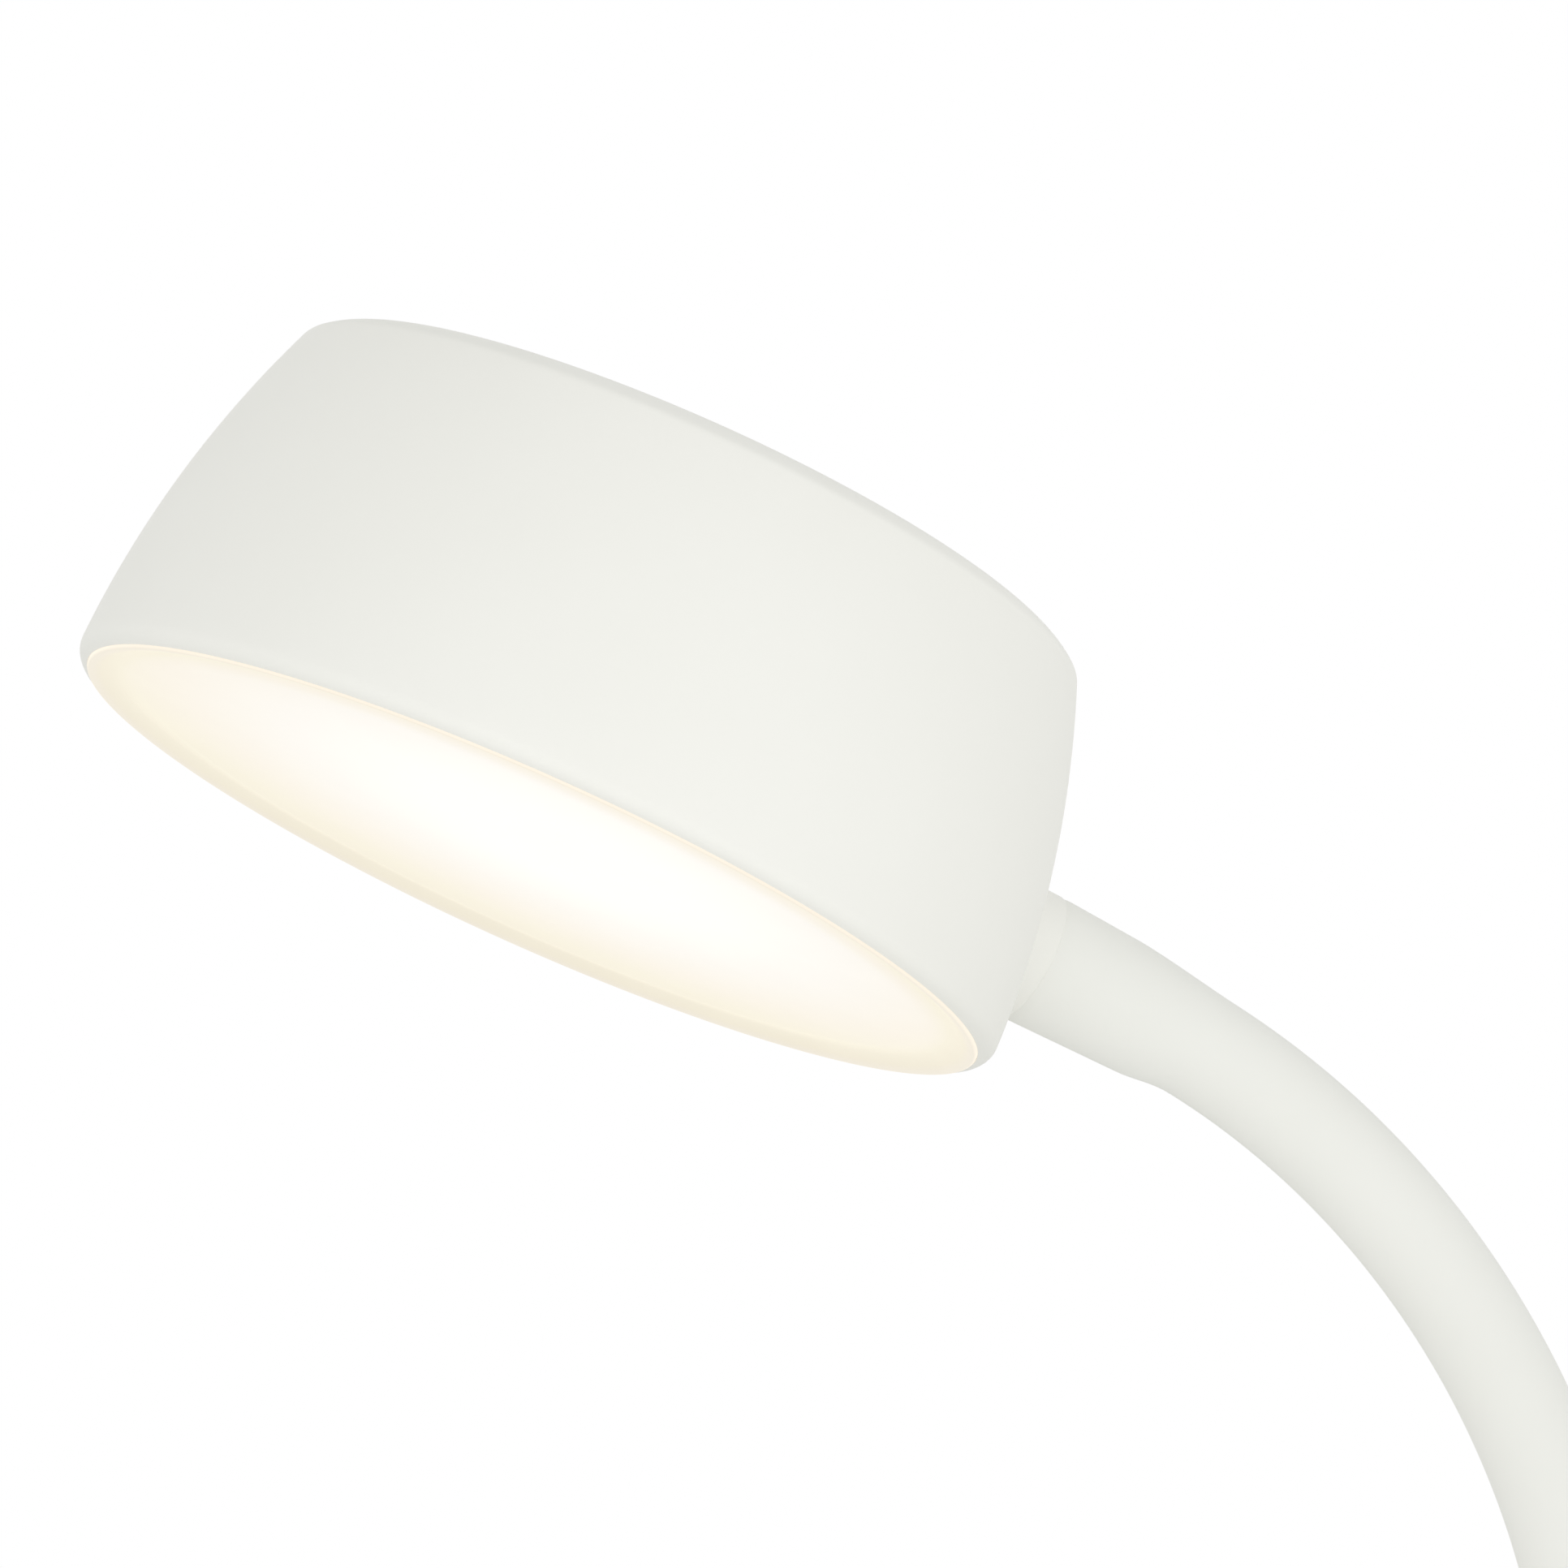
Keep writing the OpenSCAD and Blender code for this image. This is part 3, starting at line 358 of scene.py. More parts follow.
def addStage(plan):
    bpy.ops.mesh.primitive_circle_add(vertices=128, radius=plan["floorRadius"], fill_type="NGON")
    floor = bpy.context.object
    floor.name = "floor"
    floor.location.z = plan["floorZ"]
    paint, _, shader = newFinish("floorPaint")
    shader.inputs["Base Color"].default_value = plan["floorColour"]
    shader.inputs["Roughness"].default_value = plan["floorRough"]
    shader.inputs["Specular IOR Level"].default_value = plan["floorSpecular"]
    floor.data.materials.append(paint)

    # a wide panel in front of the lamp and a card lying in front of it that throws light up
    panel = addLight("frontPanel", plan["panel"])
    panel.rotation_quaternion = (aim - panel.location).to_track_quat("-Z", "Y")
    card = addLight("lowCard", plan["card"])
    card.rotation_quaternion = Vector((0, 0, 1)).to_track_quat("-Z", "Y")


# white where the room is seen, in mirrors too; as light it is softer, most of all from above
def addRoom(plan):
    room = bpy.data.worlds.new("whiteRoom")
    room.use_nodes = True
    scene.world = room
    tree = room.node_tree
    tree.nodes.clear()
    rays = tree.nodes.new("ShaderNodeLightPath")
    seen = rays.outputs["Is Camera Ray"]
    for kind in ("Is Glossy Ray", "Is Transmission Ray"):
        more = tree.nodes.new("ShaderNodeMath")
        more.operation = "MAXIMUM"
        tree.links.new(seen, more.inputs[0])
        tree.links.new(rays.outputs[kind], more.inputs[1])
        seen = more.outputs[0]
    light = tree.nodes.new("ShaderNodeBackground")
    place = tree.nodes.new("ShaderNodeTexCoord")
    axes = tree.nodes.new("ShaderNodeSeparateXYZ")
    tree.links.new(place.outputs["Generated"], axes.inputs[0])
    height = spread(tree, axes.outputs["Z"], *plan["heights"], 0, 1)
    tree.links.new(mixColours(tree, height, plan["level"], plan["overhead"]), light.inputs["Color"])
    white = tree.nodes.new("ShaderNodeBackground")
    white.inputs["Color"].default_value = (1, 1, 1, 1)
    either = tree.nodes.new("ShaderNodeMixShader")
    tree.links.new(seen, either.inputs[0])
    tree.links.new(light.outputs[0], either.inputs[1])
    tree.links.new(white.outputs[0], either.inputs[2])
    output = tree.nodes.new("ShaderNodeOutputWorld")
    tree.links.new(either.outputs[0], output.inputs["Surface"])


addStage(stagePlan)
addRoom(stagePlan)
print("stage and light set")

finishes = {
    "shell_plastic": grainedFinish("mouldedShell", {
        "colour": (0.902, 0.899, 0.857), "patch": (0.912, 0.909, 0.869), "patchSize": 26,
        "grainSize": 0.3, "grainDepth": 0.006, "rough": (0.56, 0.64), "specular": 0.25,
    }),
    "neck_silicone": grainedFinish("sleeveSilicone", {
        "colour": (0.884, 0.886, 0.846), "patch": (0.894, 0.895, 0.858), "patchSize": 18,
        "grainSize": 0.22, "grainDepth": 0.005, "rough": (0.6, 0.7), "specular": 0.22,
    }),
    "reflector_white": grainedFinish("reflectorWhite", {
        "colour": (0.9, 0.9, 0.88), "patch": (0.86, 0.86, 0.84), "patchSize": 14,
        "grainSize": 0.3, "grainDepth": 0.004, "rough": (0.4, 0.55),
    }),
    "aluminium": grainedFinish("turnedAluminium", {
        "colour": (0.72, 0.73, 0.74), "patch": (0.62, 0.63, 0.65), "patchSize": 5,
        "grainSize": 0.25, "grainDepth": 0.006, "rough": (0.28, 0.44), "metal": 1.0,
        "stretch": (1, 1, 5),
    }),
    "light_board_white": grainedFinish("boardWhite", {
        "colour": (0.84, 0.85, 0.84), "patch": (0.78, 0.79, 0.78), "patchSize": 9,
        "grainSize": 0.5, "grainDepth": 0.008, "rough": (0.3, 0.45),
    }),
    "light_chip": grainedFinish("chipPhosphor", {
        "colour": (0.9, 0.68, 0.14), "patch": (0.95, 0.78, 0.26), "patchSize": 1.2,
        "grainSize": 0.2, "grainDepth": 0.01, "rough": (0.4, 0.6),
    }),
    "plug_plastic": grainedFinish("plugNylon", {
        "colour": (0.82, 0.79, 0.68), "patch": (0.76, 0.73, 0.62), "patchSize": 4,
        "grainSize": 0.3, "grainDepth": 0.008, "rough": (0.4, 0.55),
    }),
    "plated_steel": grainedFinish("platedSteel", {
        "colour": (0.56, 0.57, 0.59), "patch": (0.47, 0.48, 0.5), "patchSize": 6,
        "grainSize": 0.2, "grainDepth": 0.008, "rough": (0.24, 0.42), "metal": 1.0,
        "stretch": (1, 1, 3),
    }),
    "lead_jacket": grainedFinish("leadJacket", {
        "colour": (0.2, 0.21, 0.215), "patch": (0.26, 0.27, 0.275), "patchSize": 6,
        "grainSize": 0.3, "grainDepth": 0.01, "rough": (0.45, 0.6),
    }),
    "pad_rubber": grainedFinish("padRubber", {
        "colour": (0.035, 0.035, 0.037), "patch": (0.055, 0.055, 0.058), "patchSize": 11,
        "grainSize": 0.45, "grainDepth": 0.05, "rough": (0.75, 0.92), "specular": 0.3,
    }),
    "weight_iron": grainedFinish("castIron", {
        "colour": (0.07, 0.07, 0.073), "patch": (0.1, 0.095, 0.09), "patchSize": 7,
        "grainSize": 0.9, "grainDepth": 0.12, "rough": (0.5, 0.75), "metal": 0.8,
    }),
    "control_board_green": grainedFinish("boardGreen", {
        "colour": (0.012, 0.11, 0.048), "patch": (0.016, 0.17, 0.07), "patchSize": 3,
        "grainSize": 0.6, "grainDepth": 0.02, "rough": (0.25, 0.4), "stretch": (1, 4, 1),
    }),
    "black_plastic": grainedFinish("blackPlastic", {
        "colour": (0.012, 0.012, 0.013), "patch": (0.02, 0.02, 0.021), "patchSize": 5,
        "grainSize": 0.25, "grainDepth": 0.012, "rough": (0.42, 0.58),
    }),
    "coil_copper": grainedFinish("coilCopper", {
        "colour": (0.72, 0.3, 0.13), "patch": (0.55, 0.2, 0.08), "patchSize": 2,
        "grainSize": 0.25, "grainDepth": 0.05, "rough": (0.25, 0.4), "metal": 1.0,
        "stretch": (1, 1, 8),
    }),
    "contact_brass": grainedFinish("contactBrass", {
        "colour": (0.78, 0.58, 0.26), "patch": (0.68, 0.48, 0.2), "patchSize": 2,
        "grainSize": 0.15, "grainDepth": 0.006, "rough": (0.18, 0.32), "metal": 1.0,
        "stretch": (5, 1, 1),
    }),
}

# the lit lens: its own glow from the lamp, painted brighter towards the camera's side and painted darker
# towards its edge
opalLook = {
    "hotSpot": (-3.0, -20.0, 0.0),  # brightest place of the lit lens, in the head's axes; set off centre towards the camera's side as a painted highlight on the lens's own glow
    "reach": 80.0,                  # the glow falls off over this distance from it
    "glow": [                       # distance, colour of the light there
        (0, (0.94, 0.93, 0.95)),
        (18, (0.85, 0.815, 0.785)),
        (36, (0.77, 0.745, 0.705)),
        (52, (0.75, 0.702, 0.62)),
        (64, (0.725, 0.68, 0.557)),
        (80, (0.685, 0.634, 0.515)),
    ],
    "edgeFrom": (46.5, 18.0),       # from this radius on the lens is as dim as that far from the hot spot: painted shade darkening the glow towards the edge
    "edgeTo": (57.5, 84.0),
    # painted shade: a darker golden band on the bead's inner flank, from flankFrom to flankTo
    "flank": (0.682, 0.632, 0.54),
    "flankFrom": 56.4,
    "flankTo": 57.4,
    # painted highlight: a bright line along the bead, from beadFrom to beadTo
    "bead": (0.8, 0.725, 0.61),
    "beadFrom": 57.92,
    "beadTo": 58.2,
    "soft": 0.1,                    # how softly the hot spot's glow goes over into the edge's
    "body": (0.20, 0.19, 0.17),
    "bodyPatch": (0.215, 0.205, 0.185),
    "cloudSize": 9,
    "grainSize": 0.5,
    "grainDepth": 0.004,
    "rough": 0.5,
    "specular": 0.2,
}


# lens glowing with the lamp's own light; the hot spot's place towards the camera's side is a painted
# highlight, the dimming towards the edge and the flank's band are painted shade, the bead's line a painted
# highlight
def opalFinish(look):
    material, tree, shader = newFinish("opalLens")
    shader.inputs["Roughness"].default_value = look["rough"]
    shader.inputs["Specular IOR Level"].default_value = look["specular"]
    cloud = spread(tree, noiseAt(tree, look["cloudSize"]), *noiseSpan, 0, 1)
    tree.links.new(mixColours(tree, cloud, look["body"], look["bodyPatch"]), shader.inputs["Base Color"])
    relief(tree, shader, noiseAt(tree, look["grainSize"]), look["grainDepth"])
    place = tree.nodes.new("ShaderNodeTexCoord")

    def distance(spot):
        away = tree.nodes.new("ShaderNodeVectorMath")
        away.operation = "DISTANCE"
        away.inputs[1].default_value = [v * mm for v in spot]
        tree.links.new(place.outputs["Object"], away.inputs[0])
        return away.outputs["Value"]

    radius = distance((0, 0, 0))
    reach = look["reach"]
    (edgeIn, dimIn), (edgeOut, dimOut) = look["edgeFrom"], look["edgeTo"]
    fall = tree.nodes.new("ShaderNodeMath")
    fall.operation = "SMOOTH_MAX"
    fall.inputs[2].default_value = look["soft"]
    tree.links.new(spread(tree, distance(look["hotSpot"]), 0, reach * mm, 0, 1), fall.inputs[0])
    # painted shade: the glow dims towards the lens's edge
    dim = spread(tree, radius, edgeIn * mm, edgeOut * mm, dimIn / reach, dimOut / reach)
    tree.links.new(dim, fall.inputs[1])
    ramp = tree.nodes.new("ShaderNodeValToRGB")
    while len(ramp.color_ramp.elements) < len(look["glow"]):
        ramp.color_ramp.elements.new(0.5)
    for stop, (at, colour) in zip(ramp.color_ramp.elements, look["glow"]):
        stop.position = at / reach
        stop.color = (*colour, 1)
    tree.links.new(fall.outputs[0], ramp.inputs["Fac"])
    glow = ramp.outputs["Color"]
    # painted shade on the bead's inner flank, then a painted highlight along the bead, over the glow
    for ring in ("flank", "bead"):
        share = spread(tree, radius, look[ring + "From"] * mm, look[ring + "To"] * mm, 0, 1)
        glow = mixColours(tree, share, glow, look[ring])
    tree.links.new(glow, shader.inputs["Emission Color"])
    shader.inputs["Emission Strength"].default_value = 1.0
    return material


finishes["opal_diffuser"] = opalFinish(opalLook)
print("finishes made:", len(finishes))


# finish, body and the nodes that a new piece stands for
def settle(piece, slot, body, *nodes):
    piece.data.materials.append(finishes[slot])
    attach(piece, body)
    if nodes:
        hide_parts(*nodes)
    return piece


# circle through two points of a profile that stands out by swell halfway: its centre and radius
def bulgeArc(low, high, swell):
    low = Vector(low)
    high = Vector(high)
    chord = high - low
    radius = chord.length_squared / (8 * swell) + swell / 2
    out = Vector((chord.y, -chord.x)).normalized()
    return (low + high) / 2 - out * (radius - swell), radius


# a drum's swelling wall between its lip and its top edge
class Drum:
    def __init__(self, plan):
        self.plan = plan
        self.wallCentre, self.wallRadius = bulgeArc(
            (plan["rim"], plan["lip"]), (plan["top"], plan["height"]), plan["swell"])

    def wallAt(self, z, inset=0.0):
        return self.wallCentre.x + math.sqrt((self.wallRadius - inset) ** 2 - (z - self.wallCentre.y) ** 2)

    # from just under the top edge down to the end of the rounded lip
    def side(self):
        plan = self.plan
        spots = [(self.wallAt(z), z) for z in evenly(plan["height"] - plan["edge"], plan["lip"], 32)]
        lipCentre = (plan["rim"] - plan["lip"], plan["lip"])
        return spots + arcSpots(lipCentre, plan["lip"], 0, -plan["lipTurn"], 9)[1:]


headPlan = {
    "rim": 60.0, "top": 50.9, "height": 46.6, "swell": 2.0, "wall": 2.2, "lip": 2.2, "lipTurn": 77.0,
    "band": 8.8, "bandFrom": 47.0, "edge": 0.5, "mouth": 58.3, "ledgeLow": 5.0, "ledgeTop": 6.6,
    "ledge": 56.9, "stemCut": (40.0, 80.0), "count": 320,
}
headDrum = Drum(headPlan)


# the head's flat top and the rounded band down to the top edge, from the middle outwards
def headTop(plan, inset=0.0):
    start = math.radians(plan["bandFrom"])
    centre = (plan["top"] - plan["band"] * math.cos(start), plan["height"] - plan["band"] * math.sin(start))
    band = arcSpots(centre, plan["band"] - inset, 90, plan["bandFrom"], 14)
    return [(r, band[0][1]) for r in evenly(0, band[0][0], 12)[:-1]] + band


def headShell(plan):
    top = headTop(plan)
    under = headTop(plan, plan["wall"])
    side = headDrum.side()
    outside = top[:-2] + softCorner(top[-2], top[-1], side[0], 6) + side[1:]
    ledge = plan["ledge"]
    inside = [(plan["mouth"], plan["ledgeLow"]), (ledge, plan["ledgeLow"]), (ledge, plan["ledgeTop"])]
    inside += [(headDrum.wallAt(z, plan["wall"]), z) for z in evenly(plan["ledgeTop"], under[-1][1], 14)]
    piece = lathe("headShell", outside + inside + under[::-1], plan["count"], headPlace)
    stem = Matrix.Translation((0, 0, lampPlan["stemUp"] * mm)) @ Matrix.Rotation(math.pi / 2, 4, "Y")
    carve(piece, plug("stemHole", lampPlan["neckHole"], plan["stemCut"], headPlace @ stem))
    return settle(piece, "shell_plastic", "head", "head_shell")


headShell(headPlan)

bossPlan = {"fillet": 0.35, "endRound": 0.16, "seat": 9.0, "seatX": 52.0, "sunk": 0.04, "count": 144}


# short boss on the head's side; its foot follows the wall all the way round
def headBoss(plan):
    steps = [2 * math.pi * k / plan["count"] for k in range(plan["count"])]
    stem = lampPlan["stemRadius"]
    end = lampPlan["stemReach"]

    def across(radius, a):
        return radius * math.cos(a), lampPlan["stemUp"] + radius * math.sin(a)

    def onWall(radius, out):
        ring = []
        for a in steps:
            y, z = across(radius, a)
            ring.append((math.sqrt(headDrum.wallAt(z) ** 2 - y * y) + out, y, z))
        return ring

    def flat(radius, x):
        return [(x, *across(radius, a)) for a in steps]

    rings = [flat(lampPlan["stemBore"], plan["seatX"]), flat(plan["seat"], plan["seatX"])]
    rings.append(onWall(plan["seat"], -headPlan["wall"] / 2))
    for t in evenly(0, math.pi / 2, 6):
        reach = plan["fillet"] * (1 - math.sin(t))
        rings.append(onWall(stem + reach, plan["fillet"] * (1 - math.cos(t)) - plan["sunk"]))
    for t in evenly(0, math.pi / 2, 5):
        edge = plan["endRound"]
        rings.append(flat(stem - edge + edge * math.cos(t), end - edge + edge * math.sin(t)))
    rings.append(flat(lampPlan["stemBore"], end))
    return settle(loft("headBoss", rings, headPlace, closed=True), "shell_plastic", "head")


headBoss(bossPlan)

lensPlan = {
    "radius": 58.22, "centre": -0.9, "edge": 57.25, "rise": 1.6, "thick": 1.8,
    "valleyFrom": 50.5, "valleyTo": 57.2, "valleyDeep": 0.25, "flankFrom": 54.4, "beadWide": 0.55,
    "beadLow": -0.3, "beadRound": 0.3, "skirtTop": 3.8, "skirtWide": 1.8, "sharpAngle": 40, "count": 320,
}


# opal lens: a low swell, a shallow valley near its edge, a raised bead and a skirt
def opalLens(plan):
    ball = (plan["edge"] ** 2 + plan["rise"] ** 2) / (2 * plan["rise"])

    def faceAt(r):
        z = plan["centre"] + ball - math.sqrt(ball ** 2 - r * r)
        share = (r - plan["valleyFrom"]) / (plan["valleyTo"] - plan["valleyFrom"])
        if 0 < share < 1:
            z += plan["valleyDeep"] * math.sin(math.pi * share) ** 2
        return z

    flankFrom = plan["flankFrom"]
    face = [(r, faceAt(r)) for r in evenly(0, plan["valleyFrom"], 24)]
    face += [(r, faceAt(r)) for r in evenly(plan["valleyFrom"], flankFrom, 9)[1:]]
    half = plan["beadWide"] / 2
    middle = plan["radius"] - half
    low = plan["beadLow"]
    high = faceAt(flankFrom)
    face += [(flankFrom + (middle - flankFrom) * s, high + (low - high) * ease(s))
             for s in evenly(0, 1, 17)[1:]]
    face += [(middle + half * math.sin(t), low + plan["beadRound"] * (1 - math.cos(t)))
             for t in evenly(0, math.pi / 2, 7)[1:]]
    skirtIn = plan["radius"] - plan["skirtWide"]
    face += [(plan["radius"], plan["skirtTop"]), (skirtIn, plan["skirtTop"])]
    face += [(r, faceAt(min(r, plan["valleyFrom"])) + plan["thick"]) for r in evenly(skirtIn, 0, 14)]
    piece = lathe("opalLens", face, plan["count"], headPlace, sharpAngle=plan["sharpAngle"], ownAxes=True)
    return settle(piece, "opal_diffuser", "head", "diffuser")


opalLens(lensPlan)
print("head made")

neckPlan = {
    "radius": 6.7, "bore": 5.6, "cup": 6.5, "endSmall": 7.6, "roll": 1.4, "rollDeep": 0.2, "ring": 1.2,
    "flex": 13.0, "cupOver": 0.2, "count": 96,
    "baseStep": (14.5, 22.5),   # where the thick end at the base steps down, from its boss
    "underStep": (16.5, 24.0),  # at the head, on the inner side of the bend
    "outerStep": (11.0, 26.0),  # at the head, on the outer side, where the sleeve is stretched
}


# radius of the sleeve at a distance along the neck, as a function of the angle from the bend's outer side
def sleeveRadius(plan, along):
    big = lampPlan["stemRadius"]
    gapAtHead = neckLen + lampPlan["collarLen"] - along
    gap = min(along, gapAtHead)
    thick = big + (plan["endSmall"] - big) * gap / lampPlan["collarLen"]
    thick -= plan["rollDeep"] * max(1 - gap / plan["roll"], 0) ** 2

    def radius(a):
        start, end = plan["baseStep"]
        if gapAtHead < along:
            outer = (1 + math.cos(a)) / 2
            start, end = [u + (o - u) * outer for u, o in zip(plan["underStep"], plan["outerStep"])]
        down = ease((gap - start) / (end - start))
        return thick * (1 - down) + plan["radius"] * down

    return radius


# distance along the neck of a point on its middle line
def alongNeck(spot):
    rise = spot.z - lampPlan["collarZ"] - lampPlan["straightLen"]
    if rise <= 0:
        return lampPlan["straightLen"] + rise
    fromCentre = spot.x - lampPlan["neckX"] + lampPlan["bendRadius"]
    return lampPlan["straightLen"] + lampPlan["bendRadius"] * math.atan2(rise, fromCentre)


# the silicone sleeve: one length for each place where the neck flexes
def sleeveLengths(plan):
    flexes = [j for j in frame["joints"] if j["type"] == "hinge"]
    order = ["base"]
    while len(order) <= len(flexes):
        order.append(next(j["child"] for j in flexes if j["parent"] == order[-1]))
    spots = {j["child"]: Vector(j["pos_m"]) / mm for j in flexes}
    stations = [alongNeck(spots[body]) for body in order[1:]]
    stemEnd = neckLen + lampPlan["collarLen"]
    cuts = [0.0] + [(a + b) / 2 for a, b in zip(stations, stations[1:])] + [stemEnd]
    roll = [plan["roll"] * k / 4 for k in range(4)]
    cupEnd = lampPlan["collarLen"] + plan["cupOver"]
    for i, (start, end) in enumerate(zip(cuts, cuts[1:])):
        count = max(int((end - start) / plan["ring"]), 8)
        outside = evenly(start, end, count)
        if i == 0:
            outside = roll + evenly(plan["roll"], end, count)
        if end == stemEnd:
            outside = evenly(start, end - plan["roll"], count) + [end - gap for gap in reversed(roll)]
        bored = evenly(max(start, cupEnd), min(end, stemEnd - cupEnd), count)
        inside = [(s, plan["bore"]) for s in bored]
        if i == 0:
            inside = [(0, plan["cup"]), (cupEnd, plan["cup"])] + inside
        if end == stemEnd:
            inside += [(stemEnd - cupEnd, plan["cup"]), (end, plan["cup"])]
        rings = [neckRing(s, sleeveRadius(plan, s), plan["count"]) for s in outside]
        rings += [neckRing(s, r, plan["count"]) for s, r in reversed(inside)]
        piece = loft(f"neckSleeve{i + 1}", rings, closed=True)
        piece.data.materials.append(finishes["neck_silicone"])
        low, high = [neckSpot(stations[i] + way * plan["flex"])[0] * mm for way in (-1, 1)]
        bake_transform(piece)
        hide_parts(*([f"neck_sleeve_{i + 1}"] + (["neck_sleeve_8"] if end == stemEnd else [])))


sleeveLengths(neckPlan)
print("neck made")

basePlan = {
    "rim": 65.0, "top": 61.0, "height": 23.0, "swell": 0.8, "dome": 3.0, "wall": 2.4, "lip": 1.0,
    "lipTurn": 90.0, "edge": 0.5, "lift": 1.2, "count": 320,
    "buttonX": -28.0, "buttonHole": 9.8, "holeEdge": 0.35, "guide": 13.0, "guideLow": 23.05,
    "neckCut": (10.0, 40.0),
}
baseDrum = Drum(basePlan)
domeRadius = (basePlan["top"] ** 2 + basePlan["dome"] ** 2) / (2 * basePlan["dome"])


# height of the base's domed top over the foot of its wall
def domeAt(r, inset=0.0):
    return basePlan["height"] + basePlan["dome"] - domeRadius + math.sqrt((domeRadius - inset) ** 2 - r * r)


# weighted base's cover, open below, with the button's hole and guide
def baseCover(plan):
    count = plan["count"]

    # circle part way from the button's hole to the rim of the top
    def topRing(inner, outer, share, inset, sink=0.0):
        x = plan["buttonX"] * (1 - share)
        ring = ringAt(inner + (outer - inner) * share, 0, count, x)
        return [(p[0], p[1], domeAt(math.hypot(p[0], p[1]), inset) - sink) for p in ring]

    def level(radius, z, x=0.0):
        return ringAt(radius, z, count, x)

    hole = plan["buttonHole"]
    edge = plan["holeEdge"]
    outer = plan["top"] - plan["edge"]
    guideLow = plan["guideLow"] - plan["lift"]
    rings = [level(hole, guideLow, plan["buttonX"])]
    for t in evenly(0, math.pi / 2, 4):
        rings.append(topRing(hole + edge * (1 - math.cos(t)), outer, 0, 0, edge * (1 - math.sin(t))))
    rings += [topRing(hole + edge, outer, t, 0) for t in evenly(0, 1, 26)[1:-1]]
    side = baseDrum.side()
    corner = softCorner((outer, domeAt(outer)), (plan["top"], plan["height"]), side[0], 5)
    rings += [level(r, z) for r, z in corner + side[1:]]
    cornerZ = plan["height"] - plan["wall"]
    for step in range(12):  # where wall and dome meet on the inside
        cornerR = baseDrum.wallAt(cornerZ, plan["wall"])
        cornerZ = domeAt(cornerR, plan["wall"])
    rings += [level(baseDrum.wallAt(z, plan["wall"]), z) for z in evenly(0, cornerZ, 8)]
    rings += [topRing(plan["guide"], cornerR, t, plan["wall"]) for t in evenly(1, 0, 12)[1:]]
    rings.append(level(plan["guide"], guideLow, plan["buttonX"]))
    rings = [[(p[0], p[1], p[2] + plan["lift"]) for p in ring] for ring in rings]
    return loft("baseCover", rings, basePlace, closed=True)


socketPlan = {
    "z": 11.0, "seatX": 62.38, "flange": 5.6, "flangeLen": 1.6, "recess": 5.9, "barrel": 3.9, "hole": 4.05,
    "bore": 3.15, "depth": 9.5, "back": 2.0, "pinHole": 1.05, "mouthCut": 0.5, "edge": 0.35, "count": 96,
    "pad": 7.5, "padEnds": (-3.1, 0.22),  # pad behind the socket, which ends inside the cover's wall
    "recessEnds": (0.0, 20.0), "holeEnds": (-8.0, 20.0),
}


# local Z of a piece turned to the lamp's rear, +X
def rearPlace(plan):
    return Matrix.Translation((plan["seatX"] * mm, 0, plan["z"] * mm)) @ Matrix.Rotation(math.pi / 2, 4, "Y")


def powerSocket(plan):
    front = plan["flangeLen"]
    back = front - plan["depth"] - plan["back"]
    floor = front - plan["depth"]
    edge = plan["edge"]
    cut = plan["mouthCut"]
    profile = [(plan["pinHole"], back), (plan["barrel"], back), (plan["barrel"], 0), (plan["flange"], 0)]
    flange = plan["flange"]
    profile += softCorner((flange, front - edge), (flange, front), (flange - edge, front), 5)
    profile += [(plan["bore"] + cut, front), (plan["bore"], front - cut), (plan["bore"], floor)]
    profile += [(plan["pinHole"], floor)]
    piece = lathe("powerSocket", profile, plan["count"], rearPlace(plan), closed=True)
    return settle(piece, "black_plastic", "base", "power_socket")


cover = baseCover(basePlan)
for part, how in (("pad", "UNION"), ("recess", "DIFFERENCE"), ("hole", "DIFFERENCE")):
    ends = socketPlan[part + "Ends"]
    bar = plug(part, socketPlan[part], ends, rearPlace(socketPlan), socketPlan["count"])
    carve(cover, bar, how)
neckFoot = Matrix.Translation((lampPlan["neckX"] * mm, 0, 0))
carve(cover, plug("neckHole", lampPlan["neckHole"], basePlan["neckCut"], neckFoot))
settle(cover, "shell_plastic", "base", "base_cover")
powerSocket(socketPlan)

baseBossPlan = {"fillet": 0.45, "endRound": 0.28, "seat": 9.0, "seatZ": 21.0, "sunk": 0.04, "count": 144}


# boss that carries the neck; its foot follows the domed top
def baseBoss(plan):
    stem = lampPlan["stemRadius"]
    end = lampPlan["collarZ"]

    def flat(radius, z):
        return ringAt(radius, z, plan["count"], lampPlan["neckX"])

    def onDome(radius, up):
        lift = basePlan["lift"] + up
        return [(p[0], p[1], domeAt(math.hypot(p[0], p[1])) + lift) for p in flat(radius, 0)]

    rings = [flat(lampPlan["stemBore"], plan["seatZ"]), flat(plan["seat"], plan["seatZ"])]
    rings.append(onDome(plan["seat"], -basePlan["wall"] / 2))
    for t in evenly(0, math.pi / 2, 6):
        reach = plan["fillet"] * (1 - math.sin(t))
        rings.append(onDome(stem + reach, plan["fillet"] * (1 - math.cos(t)) - plan["sunk"]))
    for t in evenly(0, math.pi / 2, 5):
        edge = plan["endRound"]
        rings.append(flat(stem - edge + edge * math.cos(t), end - edge + edge * math.sin(t)))
    rings.append(flat(lampPlan["stemBore"], end))
    return settle(loft("baseBoss", rings, basePlace, closed=True), "shell_plastic", "base")


baseBoss(baseBossPlan)

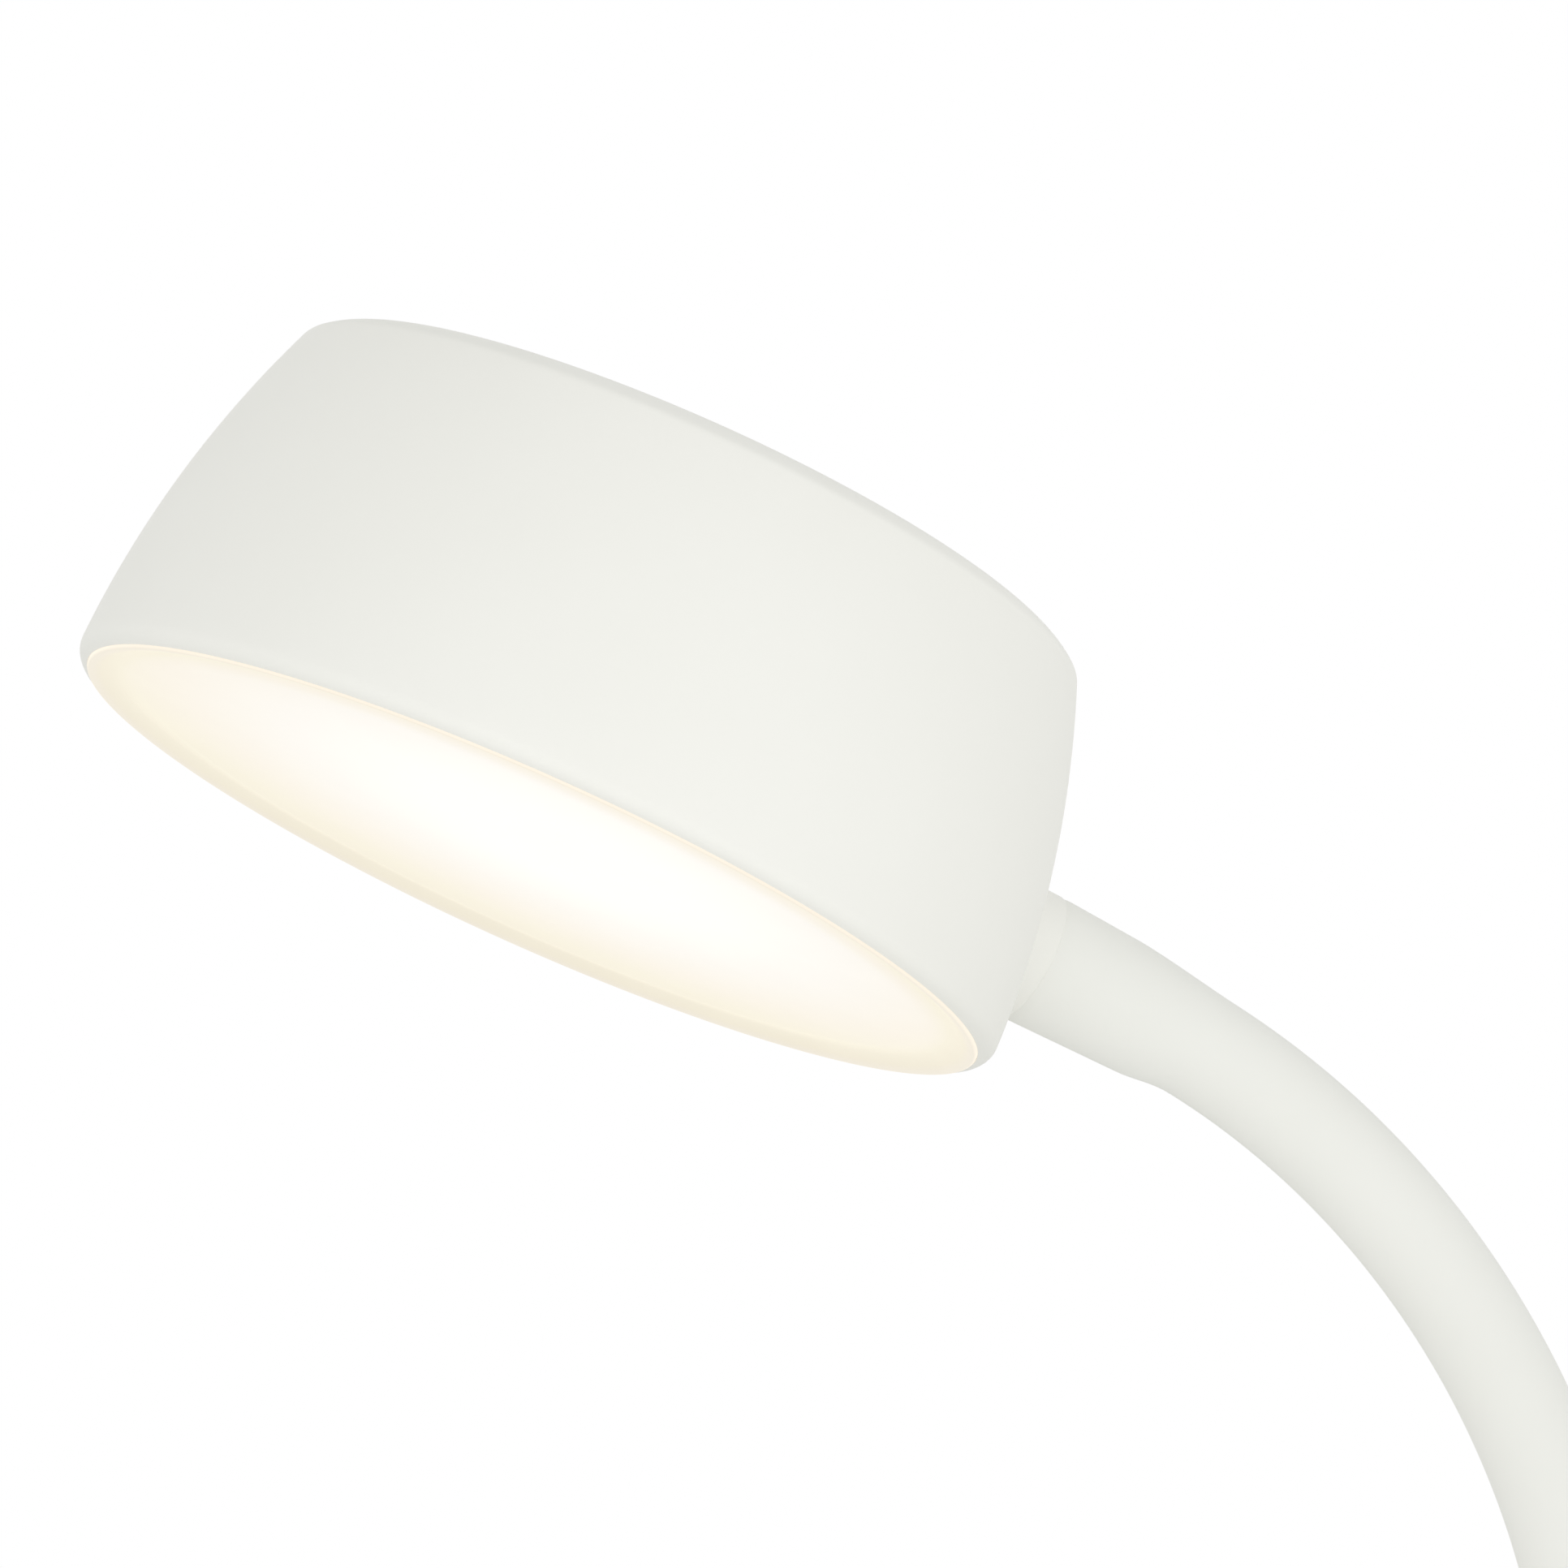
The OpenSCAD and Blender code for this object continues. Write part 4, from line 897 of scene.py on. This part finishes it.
buttonPlan = {
    "radius": 9.5, "top": 27.87, "edge": 0.8, "dish": 0.45, "flange": 11.2, "flangeTop": 22.75,
    "flangeThick": 1.2, "stem": 2.0, "stemLen": 0.9, "count": 160,
}


# push button with a dished top, a flange under the cover and a short stem
def pushButton(plan):
    rim = plan["radius"] - plan["edge"]
    dish = [plan["dish"] * math.cos(math.pi / 2 * k / 13) ** 2 for k in range(14)]
    profile = [(r, plan["top"] - low) for r, low in zip(evenly(0, rim, 14), dish)]
    profile += arcSpots((rim, plan["top"] - plan["edge"]), plan["edge"], 90, 0, 8)[1:]
    low = plan["flangeTop"] - plan["flangeThick"]
    profile += [(r, plan["flangeTop"]) for r in (plan["radius"], plan["flange"])]
    stemEnd = low - plan["stemLen"]
    profile += [(plan["flange"], low), (plan["stem"], low), (plan["stem"], stemEnd), (0, stemEnd)]
    place = Matrix.Translation((basePlan["buttonX"] * mm, 0, 0))
    piece = lathe("pushButton", profile, plan["count"], place)
    return settle(piece, "shell_plastic", "button", "button_cap")


pushButton(buttonPlan)

padPlan = {
    "radius": 60.0, "thick": 1.5, "edge": 0.45, "grooves": (22.0, 34.0, 46.0, 54.0), "width": 1.6,
    "deep": 0.5, "count": 200,
}


# rubber pad under the base, with a soft edge and shallow rings in its underside
def rubberPad(plan):
    profile = [(0, plan["thick"])]
    profile += [(plan["radius"] - plan["edge"] / 2, plan["thick"])]
    profile += softCorner((plan["radius"], plan["thick"] - plan["edge"] / 2), (plan["radius"], 0),
                          (plan["radius"] - plan["edge"], 0), 5)
    for groove in reversed(plan["grooves"]):
        for t in evenly(1, -1, 9):
            profile.append((groove + plan["width"] / 2 * t, plan["deep"] * (1 - t * t)))
    profile.append((0, 0))
    piece = lathe("rubberPad", profile, plan["count"], basePlace)
    return settle(piece, "pad_rubber", "base", "anti_slip_pad")


rubberPad(padPlan)
print("base made")

# the nodes that keep their solids take the finish of their slot
kept = 0
for part in frame["record"]["subparts"]:
    node = frame["nodes"][part["node"]]
    if node.hide_render:
        continue
    node.data.materials.clear()
    node.data.materials.append(finishes[part["material_slot"]])
    kept += 1
print("solids finished:", kept)
